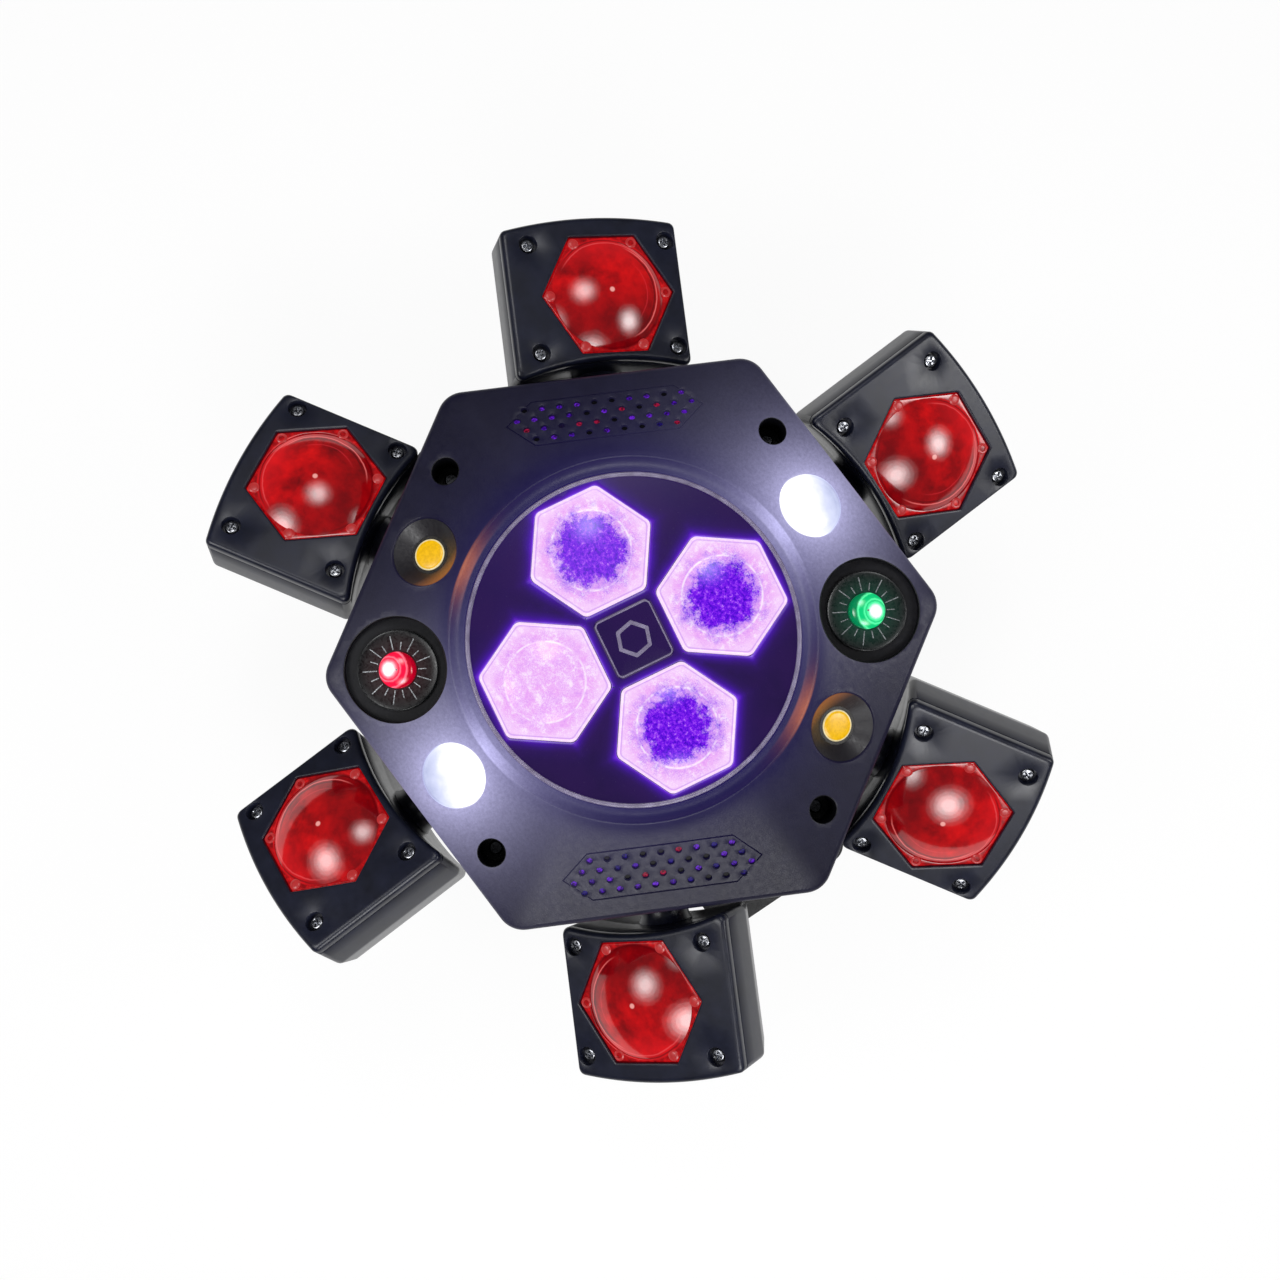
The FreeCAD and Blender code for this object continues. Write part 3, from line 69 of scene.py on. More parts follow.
MM = 0.001
WELD = 2e-6
FULL_TURN = 360
SIDES = 6
FACE_ANGLE = FULL_TURN / SIDES
PAN_REST = 3.77
DISC_REST = 18.8
ARM_HEIGHT = 91.0
ARM_TWISTS = (29.9, 21.5, 14.5, 18.3, 28.7, 28.9)

RING_HEIGHT = 162.0
RING_RADIUS = 78.0
RING_FILLET_DROP = 1.7
RING_FILLET_SHARE = 0.075
LIP_RADIUS = 77.0
LIP_DEPTH = 3.5
WELL_RADIUS = 71.7
WELL_DEPTH = 12.0
FACET_RISE = 16.0
EDGE_APOTHEM = 117.2
EDGE_CORNER = 12.0
EDGE_ROUND = 3.4
SKIRT_HEIGHT = 22.0
SKIRT_DRAFT = 2.0
SHELL_WALL = 3.0
ROUND_STEPS = 192
EDGE_START = 22.5
SKIN_PITCH = 3.0

FACETS = {"amber": (30, 210), "strobe": (90, 270), "grille": (150, 330)}
LASERS = {"green": 60, "red": 240}
SCREW_CORNERS = ((0, 1), (120, -1), (180, 1), (300, -1))
STROBE_PLACE = 96.0
STROBE_RADIUS = 14.0
STROBE_CROWN = 4.6
AMBER_PLACE = 97.0
AMBER_CUP = 15.0
AMBER_FOOT = 8.6
AMBER_DEPTH = 6.0
LASER_PLACE = 102.0
LASER_CUP = 22.4
LASER_SINK = 17.0
STAR_THICK = 1.5
LASER_DOME = 7.9
ACCESS_PLACE = 108.7
ACCESS_ANGLE = 10.9
ACCESS_RADIUS = 5.9
ACCESS_DEPTH = 35.0
GRILLE_PLACE = 97.5
GRILLE_LENGTH = 86.0
GRILLE_WIDTH = 22.4
GRILLE_TIP = 12.0
GRILLE_HOLE = 1.4
GRILLE_PITCH = 7.6
GRILLE_ROW_PITCH = 4.9
GRILLE_ROWS = (9, 10, 11, 10)
VENT_SINK = 1.5

DISC_TOP = 158.0
DISC_THICK = 3.0
DISC_RADIUS = 71.2
DISC_PITCH = 3.2
WINDOW_GAP = 0.8
RIDGE_INNER = 69.1
BEE_PLACE = 41.6
BEE_APOTHEM = 24.5
BEE_CORNER = 3.4
BEE_EYE = 17.5
BEE_STAND = 1.5
BEE_EYE_RISE = 2.2
BADGE_SIDE = 27.0
BADGE_CORNER = 3.0
BADGE_THICK = 1.5

HEAD_INNER = 129.0
HEAD_OUTER = 195.0
HEAD_HIGH = 45.6
HEAD_LOW = 36.7
HEAD_FRONT = 34.0
HEAD_KNEE = 10.0
HEAD_BACK = -26.0
HEAD_INSET = 15.0
HEAD_WALL = 2.5
HEAD_CORNER = 3.0
BEZEL_THICK = 5.0
BEZEL_ROUND = 2.2
LOW_ROUND = 1.0
LENS_PLACE = 159.0
LENS_SHIFT = -1.1
LENS_RADIUS = 30.7
LENS_SINK = 0.9
LENS_DOME = 25.6
LENS_CROWN = 7.2
PAD_PLACE = 27.3
PAD_RADIUS = 2.5
SCREW_SHIFT = 1.2
SCREW_SPOTS = [(x, SCREW_SHIFT + y) for x in (133.3, 182.9) for y in (-32.35, 32.35)]
SCREW_SINK = 4.0
SCREW_WELL = 4.2
SCREW_STEPS = 48
CROSS_REACH = 1.95
CROSS_HALF = 0.42
CROSS_FLOOR = 0.2

DIGITS_X = -32.0
DIGITS_Z = 36.0
DIGIT_PITCH = 9.5
DIGIT_HALF_WIDTH = 2.4
DIGIT_HALF_HEIGHT = 4.4


# Places

def turn_z(angle):
    return Matrix.Rotation(math.radians(angle), 4, "Z")


def shift(x, y, z):
    return Matrix.Translation(Vector((x, y, z)))


TURRET = turn_z(PAN_REST)
WHEEL = turn_z(PAN_REST + FACE_ANGLE + DISC_REST)


def head_place(index):
    """From a lamp head's own frame, X along its arm, to the frame of the light."""
    twist = Matrix.Rotation(math.radians(ARM_TWISTS[index]), 4, "X")
    return TURRET @ turn_z(FACE_ANGLE * (index + 0.5)) @ shift(0, 0, ARM_HEIGHT) @ twist


def polar(radius, angle, height=0.0):
    return Vector((radius * math.cos(math.radians(angle)), radius * math.sin(math.radians(angle)), height))


# Outlines: each is a closed list of points, anticlockwise from above

def circle(radius, height, count):
    return [polar(radius, FULL_TURN * k / count, height) for k in range(count)]


def round_hexagon(apothem, corner, height, arc_steps, line_steps, first_corner=0.0):
    """A hexagon with round corners."""
    reach = (apothem - corner) / math.cos(math.radians(FACE_ANGLE / 2))
    points = []
    for k in range(SIDES):
        middle = polar(reach, first_corner + FACE_ANGLE * k)
        for step in range(arc_steps + 1):
            swing = FACE_ANGLE * (step / arc_steps - 0.5)
            points.append(middle + polar(corner, first_corner + FACE_ANGLE * k + swing))
        following = polar(reach, first_corner + FACE_ANGLE * (k + 1))
        start = points[-1]
        end = following + polar(corner, first_corner + FACE_ANGLE * (k + 0.5))
        points.extend(start.lerp(end, step / line_steps) for step in range(1, line_steps))
    return [Vector((p.x, p.y, height)) for p in points]


def hexagon_reach(angle):
    """Distance from the axis to the edge of the front housing in a direction."""
    swing = abs((angle + FACE_ANGLE / 2) % FACE_ANGLE - FACE_ANGLE / 2)
    half = math.radians(FACE_ANGLE / 2)
    reach = (EDGE_APOTHEM - EDGE_CORNER) / math.cos(half)
    arc_end = math.atan2(EDGE_CORNER * math.sin(half), reach + EDGE_CORNER * math.cos(half))
    swing = math.radians(swing)
    if swing < arc_end:
        return reach * math.cos(swing) + math.sqrt(EDGE_CORNER ** 2 - (reach * math.sin(swing)) ** 2)
    return EDGE_APOTHEM / math.cos(half - swing)


def facet_height(x, y):
    """Height of the front housing's outer skin: a straight slope with a hollow foot at the ring."""
    radius = math.hypot(x, y)
    edge = hexagon_reach(math.degrees(math.atan2(y, x)))
    share = min(max((radius - RING_RADIUS) / (edge - RING_RADIUS), 0.0), 1.0)
    foot = RING_FILLET_DROP * (1 - math.exp(-share / RING_FILLET_SHARE)) * (1 - share)
    return RING_HEIGHT - FACET_RISE * share - foot


def on_skin(x, y):
    return Vector((x, y, facet_height(x, y)))


def facet_frame(angle, place):
    """A frame on the outer skin: Z square to it, X down the slope."""
    middle = polar(place, angle)
    origin = on_skin(middle.x, middle.y)
    step = polar(1.0, angle)
    down = (on_skin(*(middle + step).xy) - on_skin(*(middle - step).xy)).normalized()
    side = Vector((-math.sin(math.radians(angle)), math.cos(math.radians(angle)), 0))
    square = down.cross(side)
    rows = zip(down, side, square, origin)
    return Matrix([*[list(row) for row in rows], [0, 0, 0, 1]])


# Meshes

class Form:
    """Points in millimetres and faces, gathered before they become a piece."""

    def __init__(self):
        self.points = []
        self.faces = []
        self.tags = []
        self.marks = {}

    def add(self, points, faces, tag=0):
        start = len(self.points)
        self.points.extend(points)
        self.faces.extend(tuple(start + k for k in face) for face in faces)
        self.tags.extend([tag] * len(faces))
        return self

    def skin(self, loops, start=False, end=False, tag=0):
        """Quads between loops of equal length, fanned shut at either end if asked."""
        count = len(loops[0])
        points = [p for loop in loops for p in loop]
        faces = []
        for row in range(len(loops) - 1):
            for k in range(count):
                a = row * count + k
                b = row * count + (k + 1) % count
                faces.append((a, a + count, b + count, b))
        for closed, row in ((start, 0), (end, len(loops) - 1)):
            if closed:
                loop = loops[row]
                points.append(sum(loop, Vector()) / count)
                centre = len(points) - 1
                ring = [(row * count + k, row * count + (k + 1) % count) for k in range(count)]
                faces.extend((centre, a, b) if row == 0 else (centre, b, a) for a, b in ring)
        return self.add(points, faces, tag)

    def lathe(self, profile, count, place=Matrix(), start=False, end=False, tag=0):
        """A turned form from (radius, height) pairs, from the top middle outwards and down."""
        loops = [[place @ p for p in circle(radius, height, count)] for radius, height in profile]
        return self.skin(loops, start, end, tag)

    def block(self, length, width, low, high, place):
        corners = [(sx * length / 2, sy * width / 2) for sx, sy in ((-1, -1), (1, -1), (1, 1), (-1, 1))]
        loops = [[place @ Vector((x, y, z)) for x, y in corners] for z in (high, low)]
        return self.skin(loops, True, True)


def piece(name, form, materials, body, place=Matrix(), replaces=(), sharp=32, marks=None):
    """Turn a form into a finished piece that rides on a body."""
    data = bpy.data.meshes.new(name)
    data.from_pydata([(place @ p) * MM for p in form.points], [], form.faces)
    data.polygons.foreach_set("material_index", form.tags)
    for finish in materials:
        data.materials.append(finish)
    for label, values in (marks or {}).items():
        data.attributes.new(label, "FLOAT", "POINT").data.foreach_set("value", values)
    solid = bmesh.new()
    solid.from_mesh(data)
    bmesh.ops.remove_doubles(solid, verts=solid.verts, dist=WELD)
    bmesh.ops.recalc_face_normals(solid, faces=solid.faces)
    solid.to_mesh(data)
    solid.free()
    data.shade_smooth()
    data.set_sharp_from_angle(angle=math.radians(sharp))
    thing = bpy.data.objects.new(name, data)
    scene.collection.objects.link(thing)
    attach(thing, body)
    if replaces:
        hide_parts(*replaces)
    return thing


def rounded_copy(node, width, finish):
    """The construction's own piece with its sharp edges rounded, standing for it."""
    data = frame["nodes"][node].data.copy()
    solid = bmesh.new()
    solid.from_mesh(data)
    bmesh.ops.remove_doubles(solid, verts=solid.verts, dist=WELD)
    bmesh.ops.dissolve_limit(solid, angle_limit=math.radians(0.6), verts=solid.verts, edges=solid.edges)
    solid.to_mesh(data)
    solid.free()
    data.materials.clear()
    data.materials.append(finish)
    data.shade_smooth()
    data.set_sharp_from_angle(angle=math.radians(30))
    thing = bpy.data.objects.new(node + "_finished", data)
    scene.collection.objects.link(thing)
    bevel = thing.modifiers.new("Rounded edges", "BEVEL")
    bevel.width = width * MM
    bevel.segments = 2
    bevel.limit_method = "ANGLE"
    bevel.angle_limit = math.radians(38)
    bevel.use_clamp_overlap = False
    bevel.harden_normals = True
    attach(thing, frame["nodes"][node]["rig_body"])
    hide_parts(node)


# Materials

def linear(code):
    """An sRGB hex colour as linear red, green, blue and a full alpha."""
    values = [int(code[k:k + 2], 16) / 255 for k in (1, 3, 5)]
    return [v / 12.92 if v <= 0.04045 else ((v + 0.055) / 1.055) ** 2.4 for v in values] + [1.0]


def feed(tree, socket, value):
    """Link a socket, or set it to a value or an sRGB hex colour."""
    if isinstance(value, bpy.types.NodeSocket):
        tree.links.new(value, socket)
    else:
        colour = isinstance(value, str) and value.startswith("#")
        socket.default_value = linear(value) if colour else value


def add(tree, kind, inputs=None, give=None, stops=(), ends=(), **settings):
    """Add a node with its settings and inputs, the stops of a ramp, or the ends of an eased range. Gives
    the output of that name, or the first in use."""
    node = tree.nodes.new(kind)
    for name, value in settings.items():
        setattr(node, name, value)
    for name, value in (inputs or {}).items():
        named = [s for s in node.inputs if s.enabled and s.name == name]
        feed(tree, named[0] if named else node.inputs[name], value)
    for k, (position, colour) in enumerate(stops):
        elements = node.color_ramp.elements
        element = elements[k] if k < len(elements) else elements.new(position)
        element.position = position
        element.color = linear(colour)
    if ends:
        node.interpolation_type = "SMOOTHSTEP"
        for name, value in zip(("From Min", "From Max", "To Min", "To Max"), ends):
            node.inputs[name].default_value = value
    return next((s for s in node.outputs if s.enabled and give in (None, s.name)), None)


def dress(tree, shader, **surface):
    """Set or link the shader's own sockets. A space in a socket's name is written _ here."""
    for label, value in surface.items():
        feed(tree, shader.inputs[label.replace("_", " ")], value)


def finish_of(name, **surface):
    """A material with one Principled shader, whose fixed values are set on its own sockets."""
    made = bpy.data.materials.new(name)
    made.use_nodes = True
    shader = made.node_tree.nodes["Principled BSDF"]
    dress(made.node_tree, shader, **surface)
    return made, made.node_tree, shader


def per_mm(size_mm):
    """Texture scale, in turns per metre, at which one cell measures this many millimetres."""
    return 1 / (size_mm * MM)


def cloud(tree, cell_mm, detail=3.0, rough=0.5, ends=(), stretch=None):
    """A cloudy field on the piece itself, with cells of a real size, eased between ends if asked."""
    place = add(tree, "ShaderNodeTexCoord", give="Object")
    if stretch:
        place = add(tree, "ShaderNodeMapping", {"Vector": place, "Scale": stretch})
    field = add(tree, "ShaderNodeTexNoise", {"Vector": place, "Scale": per_mm(cell_mm), "Detail": detail,
                                             "Roughness": rough})
    return add(tree, "ShaderNodeMapRange", {"Value": field}, ends=ends) if ends else field


def stirred(tree, value, field, amount):
    """A value made ragged by a cloudy field, which shifts it up or down by half the amount."""
    part = add(tree, "ShaderNodeMath", {0: field, 1: 0.5}, operation="SUBTRACT")
    part = add(tree, "ShaderNodeMath", {0: part, 1: amount}, operation="MULTIPLY")
    return add(tree, "ShaderNodeMath", {0: value, 1: part}, operation="ADD")


def stripe(tree, value, middle, fade, full=0.0):
    """One where a value is at a middle, fading to nothing this far from it."""
    part = add(tree, "ShaderNodeMath", {0: value, 1: middle}, operation="SUBTRACT")
    part = add(tree, "ShaderNodeMath", {0: part}, operation="ABSOLUTE")
    return add(tree, "ShaderNodeMapRange", {"Value": part}, ends=(fade, full))


def layers(tree, seen, *coats):
    """Colours laid over each other. A coat is a colour and the parts of its share, which are multiplied:
    numbers, fields, or fields with the ends that they are eased between."""
    for colour, *parts in coats:
        share = 1.0
        for k, part in enumerate(parts):
            if isinstance(part, tuple):
                part = add(tree, "ShaderNodeMapRange", {"Value": part[0]}, ends=part[1:])
            share = add(tree, "ShaderNodeMath", {0: share, 1: part}, operation="MULTIPLY") if k else part
        seen = add(tree, "ShaderNodeMix", {"Factor": share, "A": seen, "B": colour}, data_type="RGBA")
    return seen


def grain(tree, shader, cell_mm, depth_mm, strength):
    """A moulded grain: rounded cells with soft valleys, as height in millimetres."""
    place = add(tree, "ShaderNodeTexCoord", give="Object")
    cells = add(tree, "ShaderNodeTexVoronoi", {"Vector": place, "Scale": per_mm(cell_mm)}, give="Distance",
                feature="SMOOTH_F1")
    bumps = add(tree, "ShaderNodeBump", {"Height": cells, "Distance": depth_mm * MM, "Strength": strength})
    dress(tree, shader, Normal=bumps)


def grained_abs(name, light="#10101d", dark="#080812", glow=False):
    """Black ABS moulded in a spark-eroded tool: fine leather-like grain with a soft sheen. The grain is
    drawn at 0.7 mm, about twice the real one, so that it shows."""
    made, tree, shader = finish_of(name, IOR=1.53, Specular_IOR_Level=0.22)
    shade = cloud(tree, 9.0, 4.0, 0.6)
    tone = add(tree, "ShaderNodeValToRGB", {"Fac": shade}, stops=((0.3, dark), (0.7, light)))
    dress(tree, shader, Base_Color=tone, Roughness=cloud(tree, 2.2, 5.0, 0.7, (0.25, 0.75, 0.36, 0.5)))
    grain(tree, shader, 0.7, 0.06, 0.5)
    if glow:
        # Light that the strobes, the amber chips and the violet lenses throw on the housing round them
        mottle = cloud(tree, 1.4, 4.0, 0.75, (0.2, 0.8, 0.82, 1.18))
        total = (0.0, 0.0, 0.0)
        for label, colour, share in (("strobe_light", "#aeabd4", mottle), ("violet_light", "#3c2c94", 1.0),
                                     ("amber_light", "#d87a2a", mottle)):
            level = add(tree, "ShaderNodeAttribute", give="Fac", attribute_name=label)
            level = add(tree, "ShaderNodeMath", {0: level, 1: share}, operation="MULTIPLY")
            beam = add(tree, "ShaderNodeVectorMath", {0: linear(colour)[:3], "Scale": level},
                       operation="SCALE")
            total = add(tree, "ShaderNodeVectorMath", {0: beam, 1: total}, operation="ADD")
        dress(tree, shader, Emission_Color=total, Emission_Strength=1.0)
    return made


def satin_abs():
    """Black ABS of the lamp heads: smooth, with an even satin sheen and a barely visible cloudiness."""
    made, tree, shader = finish_of("Satin black ABS", IOR=1.53, Specular_IOR_Level=0.36)
    tone = add(tree, "ShaderNodeValToRGB", {"Fac": cloud(tree, 12.0, 4.0, 0.6)},
               stops=((0.3, "#0c0e1a"), (0.7, "#151829")))
    dress(tree, shader, Base_Color=tone, Roughness=cloud(tree, 3.0, 5.0, 0.7, (0.25, 0.75, 0.3, 0.36)))
    grain(tree, shader, 0.45, 0.012, 0.4)
    return made


def polished_acrylic():
    """Polished black acrylic: deep gloss with faint dust, and a painted violet glow of the lit lenses' light
    on it.
    """
    made, tree, shader = finish_of("Polished black acrylic", Base_Color="#0c0912", IOR=1.49,
                                   Specular_IOR_Level=0.35)
    light = add(tree, "ShaderNodeAttribute", give="Fac", attribute_name="violet_light")
    # Painted violet glow of the lenses' light, following the piece's violet_light mark and clouded a little
    painted_glow = add(tree, "ShaderNodeValToRGB", {"Fac": light},
               stops=((0.0, "#120822"), (0.22, "#2c1060"), (0.55, "#4710ac"), (1.0, "#7c2cf5")))
    painted_glow = layers(tree, painted_glow, ("#2d1054", (cloud(tree, 14.0, 2.0), 0.3, 0.7, 0.0, 0.5)))
    dust = cloud(tree, 0.6, 2.0, 0.6, (0.62, 0.8, 0.16, 0.34))
    dress(tree, shader, Roughness=dust, Emission_Color=painted_glow, Emission_Strength=0.85)
    return made


def satin_ridge():
    """Satin grey ABS of the ridge round the disc, clouded, in the light of the lenses."""
    made, tree, shader = finish_of("Satin grey ABS", IOR=1.53, Roughness=0.35, Emission_Color="#6d6080",
                                   Emission_Strength=0.35)
    tone = add(tree, "ShaderNodeValToRGB", {"Fac": cloud(tree, 5.0, 4.0)},
               stops=((0.3, "#4a4557"), (0.7, "#6f6a80")))
    dress(tree, shader, Base_Color=tone)
    return made


def lit_violet_lens():
    """Clear frosted acrylic lens, lit from behind: pink-lavender with a mottled violet core and a
    white-hot rim."""
    made, tree, shader = finish_of("Lit frosted acrylic", Base_Color="#1a0626", IOR=1.49, Roughness=0.09,
                                   Specular_IOR_Level=0.3)
    spot = add(tree, "ShaderNodeAttribute", give="Vector", attribute_name="lens_spot")
    radial = add(tree, "ShaderNodeVectorMath", {0: spot}, give="Value", operation="LENGTH")
    has_core = add(tree, "ShaderNodeAttribute", give="Fac", attribute_name="core")
    rim = add(tree, "ShaderNodeAttribute", give="Fac", attribute_name="rim")
    fine = cloud(tree, 0.55, 3.0, 0.8)
    patch = cloud(tree, 6.0, 4.0, 0.65)
    streaks = cloud(tree, 5.0, 8.0, 0.86)
    ragged = radial
    for field, amount in ((patch, 0.75), (fine, 0.35), (cloud(tree, 2.6, 6.0, 0.74), 0.5)):
        ragged = stirred(tree, ragged, field, amount)

    body = add(tree, "ShaderNodeValToRGB", {"Fac": fine},
               stops=((0.3, "#dc9cf2"), (0.5, "#f0bcfa"), (0.72, "#fff0ff")))
    core = add(tree, "ShaderNodeValToRGB", {"Fac": cloud(tree, 1.7, 7.0, 0.8)},
               stops=((0.36, "#2a02a8"), (0.45, "#5404dc"), (0.53, "#7c12ee"), (0.6, "#a44cf4"),
                      (0.7, "#e2c0ff")))
    sparkle = cloud(tree, 1.1, 2.0, 0.7, (0.56, 0.66, 0.35, 1.0))
    seen = layers(tree, body,
                  ("#eda6f4", (patch, 0.35, 0.7, 0.0, 0.7)),
                  ("#fff2ff", (streaks, 0.5, 0.62, 0.0, 0.8)),
                  ("#d28ef2", (streaks, 0.47, 0.36, 0.0, 0.6)),
                  ("#ffe8ff", (radial, 0.78, 1.0, 0.0, 0.45)),
                  ("#a060f0", (ragged, 0.86, 0.64, 0.0, 0.45), has_core),
                  (core, (ragged, 0.68, 0.5), has_core),
                  ("#fff6ff", stripe(tree, radial, 0.7, 0.03), (patch, 0.45, 0.6, 0.1, 0.8)),
                  ("#a45ce6", stripe(tree, rim, 0.55, 0.2, 0.05), 0.45),
                  ("#fff0ff", (rim, 0.75, 0.95), sparkle))
    dress(tree, shader, Emission_Color=seen, Emission_Strength=1.0)
    return made


def clear_red_acrylic():
    """Clear red acrylic of the lamp-head lenses over their lit reflectors: deep clouded red in the dome,
    painted shade on its inner side and painted light on its outer side, painted bright and dark arcs where it
    bends the light, and a bright flange."""
    made, tree, shader = finish_of("Clear red acrylic", Base_Color="#3c0206", IOR=1.49, Roughness=0.1,
                                   Specular_IOR_Level=0.7)
    radial = add(tree, "ShaderNodeAttribute", give="Fac", attribute_name="radial")
    low = add(tree, "ShaderNodeAttribute", give="Fac", attribute_name="low_side")
    outer = add(tree, "ShaderNodeAttribute", give="Fac", attribute_name="outer_side")
    coarse = cloud(tree, 10.0, 4.0, 0.58)
    ragged = stirred(tree, radial, coarse, 0.06)

    # Painted shade on the dome's inner side and painted light on its outer side, with ragged edges
    inner = add(tree, "ShaderNodeMath", {0: coarse, 1: -0.6}, operation="MULTIPLY")
    inner = add(tree, "ShaderNodeMath", {0: outer, 1: inner}, operation="ADD")
    seen = add(tree, "ShaderNodeValToRGB", {"Fac": coarse},
               stops=((0.26, "#5c0002"), (0.42, "#900004"), (0.58, "#c40408"), (0.76, "#ec0e0e")))
    seen = layers(tree, seen, ("#520003", (inner, -0.1, -0.9, 0.0, 0.55)),
                  ("#f01820", (outer, 0.3, 0.9, 0.0, 0.5)))
    # Painted arcs near the dome's edge: dark and bright arcs on its low side and a bright arc on its outer
    # side, as painted shade and painted highlights of the light it bends, and a painted dark ring round the
    # edge except on its high side
    for near, far, side, limit, colour, share in ((0.8, 0.86, low, 0.35, "#4a0003", 0.8),
                                                  (0.86, 0.9, low, 0.3, "#ff7a78", 0.85),
                                                  (0.66, 0.7, low, 0.4, "#e8303a", 0.5),
                                                  (0.9, 0.94, outer, 0.4, "#ff5a5e", 0.6),
                                                  (0.95, 1.0, low, -0.9, "#5c0004", 0.75)):
        half = (far - near) / 2
        band = stripe(tree, ragged, near + half, half)
        seen = layers(tree, seen, (colour, band, (side, limit, limit + 0.3, 0.0, share)))
    flange = add(tree, "ShaderNodeValToRGB", {"Fac": cloud(tree, 3.0, 4.0, 0.66)},
                 stops=((0.3, "#6c0004"), (0.5, "#a80408"), (0.64, "#d41014"), (0.8, "#ff5c54")))
    seen = layers(tree, seen, ("#ffb0a8", (radial, 0.055, 0.03)), (flange, (radial, 1.0, 1.03)))
    waves = add(tree, "ShaderNodeBump", {"Height": cloud(tree, 7.0, 2.0), "Distance": 0.1 * MM,
                                         "Strength": 0.5})
    dress(tree, shader, Emission_Color=seen, Emission_Strength=0.8, Normal=waves)
    return made


def plain_glow(name, colour, strength=1.0, base="#101010"):
    """A lit surface whose brightness varies a little over its face."""
    made, tree, shader = finish_of(name, Base_Color=base, Roughness=0.3)
    warm = linear(colour)
    pale = [min(1.0, v * 1.22 + 0.002) for v in warm[:3]] + [1.0]
    seen = layers(tree, warm, (pale, (cloud(tree, 1.5, 2.0), 0.3, 0.7)))
    dress(tree, shader, Emission_Color=seen, Emission_Strength=strength)
    return made


def lit_diffuser():
    """Opal polycarbonate dome over a white strobe LED: burnt-out white, bluish towards its outer side."""
    made, tree, shader = finish_of("Opal polycarbonate", Base_Color="#2c2e38", IOR=1.58, Roughness=0.2)
    outward = add(tree, "ShaderNodeAttribute", give="Fac", attribute_name="outward")
    seen = add(tree, "ShaderNodeValToRGB", {"Fac": stirred(tree, outward, cloud(tree, 5.0), 0.2)},
               stops=((0.0, "#ffffff"), (0.5, "#ffffff"), (0.66, "#d5daf4"), (0.85, "#aeb5d8"),
                      (1.0, "#8d93bd")))
    dress(tree, shader, Emission_Color=seen, Emission_Strength=1.1)
    return made


def laser_glass(name, dark, middle, bright):
    """Glass window of a lit laser: bright core in rings of its colour."""
    made, tree, shader = finish_of(name, Base_Color=dark, IOR=1.52, Roughness=0.06)
    outward = add(tree, "ShaderNodeAttribute", give="Fac", attribute_name="outward")
    seen = add(tree, "ShaderNodeValToRGB", {"Fac": stirred(tree, outward, cloud(tree, 1.2), 0.08)},
               stops=((0.0, "#ffffff"), (0.26, "#ffffff"), (0.4, bright), (0.52, middle), (0.58, bright),
                      (0.66, middle), (0.84, middle), (0.9, bright), (1.0, dark)))
    dress(tree, shader, Emission_Color=seen, Emission_Strength=1.1)
    return made


def star_plate(name, spill_colour):
    """Dark anodised disc round a laser, with the laser's light spilt over its middle."""
    made, tree, shader = finish_of(name, Base_Color="#07090b", Metallic=0.3)
    outward = add(tree, "ShaderNodeAttribute", give="Fac", attribute_name="outward")
    dress(tree, shader, Roughness=cloud(tree, 1.0, 3.0, 0.5, (0.3, 0.7, 0.24, 0.4)),
          Emission_Color=layers(tree, spill_colour, ("#020304", outward)), Emission_Strength=0.8)
    return made


def warm_cone():
    """Black ABS cone in the light of the amber LED: near black, orange-brown where it faces the light."""
    made, tree, shader = finish_of("Black ABS cone in amber light", Base_Color="#121116")
    outward = add(tree, "ShaderNodeAttribute", give="Fac", attribute_name="outward")
    seen = add(tree, "ShaderNodeValToRGB", {"Fac": outward},
               stops=((0.0, "#08060a"), (0.45, "#2c1c16"), (1.0, "#b56a2c")))
    dress(tree, shader, Roughness=cloud(tree, 1.2, 3.0, 0.5, (0.3, 0.7, 0.32, 0.5)), Emission_Color=seen,
          Emission_Strength=0.8)
    return made


def vent_glow():
    """Small LED lenses behind the vents: violet, blue, red or dark."""
    made, tree, shader = finish_of("Vent LED lens", Base_Color="#020204", Roughness=0.4,
                                   Specular_IOR_Level=0.1)
    tint = add(tree, "ShaderNodeAttribute", give="Fac", attribute_name="tint")
    shade = add(tree, "ShaderNodeValToRGB", {"Fac": tint},
                stops=((0.0, "#04030a"), (0.2, "#4a10a8"), (0.38, "#221076"), (0.55, "#6a22d0"),
                       (0.7, "#a3123e"), (0.84, "#140a30"), (0.92, "#5a16ba")))
    shade.node.color_ramp.interpolation = "CONSTANT"
    patchy = cloud(tree, 0.9, 2.0, 0.5, (0.35, 0.65, 0.15, 1.0))
    seen = add(tree, "ShaderNodeVectorMath", {0: shade, "Scale": patchy}, operation="SCALE")
    dress(tree, shader, Emission_Color=seen, Emission_Strength=1.0)
    return made


def metal(name, colour, rough, cell_mm=2.0, stretch=(1.0, 1.0, 1.0)):
    """Bare or plated metal with fine streaks and cloudy wear in its roughness."""
    made, tree, shader = finish_of(name, Metallic=1.0)
    marks = cloud(tree, cell_mm, 4.0, 0.65, stretch=stretch)
    tone = linear(colour)
    dull = [v * 0.72 for v in tone[:3]] + [1.0]
    dress(tree, shader, Base_Color=layers(tree, dull, (tone, (marks, 0.3, 0.7))),
          Roughness=add(tree, "ShaderNodeMapRange", {"Value": marks},
                        ends=(0.25, 0.75, rough * 0.75, rough * 1.3)))
    return made


def moulded(name, colour, rough, cell_mm=1.2, depth_mm=0.03):
    """Plain moulded plastic or rubber with a faint grain and cloudy tone."""
    made, tree, shader = finish_of(name, IOR=1.5)
    tone = linear(colour)
    light = [min(1.0, v * 1.35 + 0.002) for v in tone[:3]] + [1.0]
    dress(tree, shader, Base_Color=layers(tree, tone, (light, (cloud(tree, 6.0, 4.0, 0.6), 0.3, 0.7))),
          Roughness=cloud(tree, 2.0, 4.0, 0.5, (0.3, 0.7, rough * 0.85, rough * 1.15)))
    grain(tree, shader, cell_mm, depth_mm, 0.4)
    return made


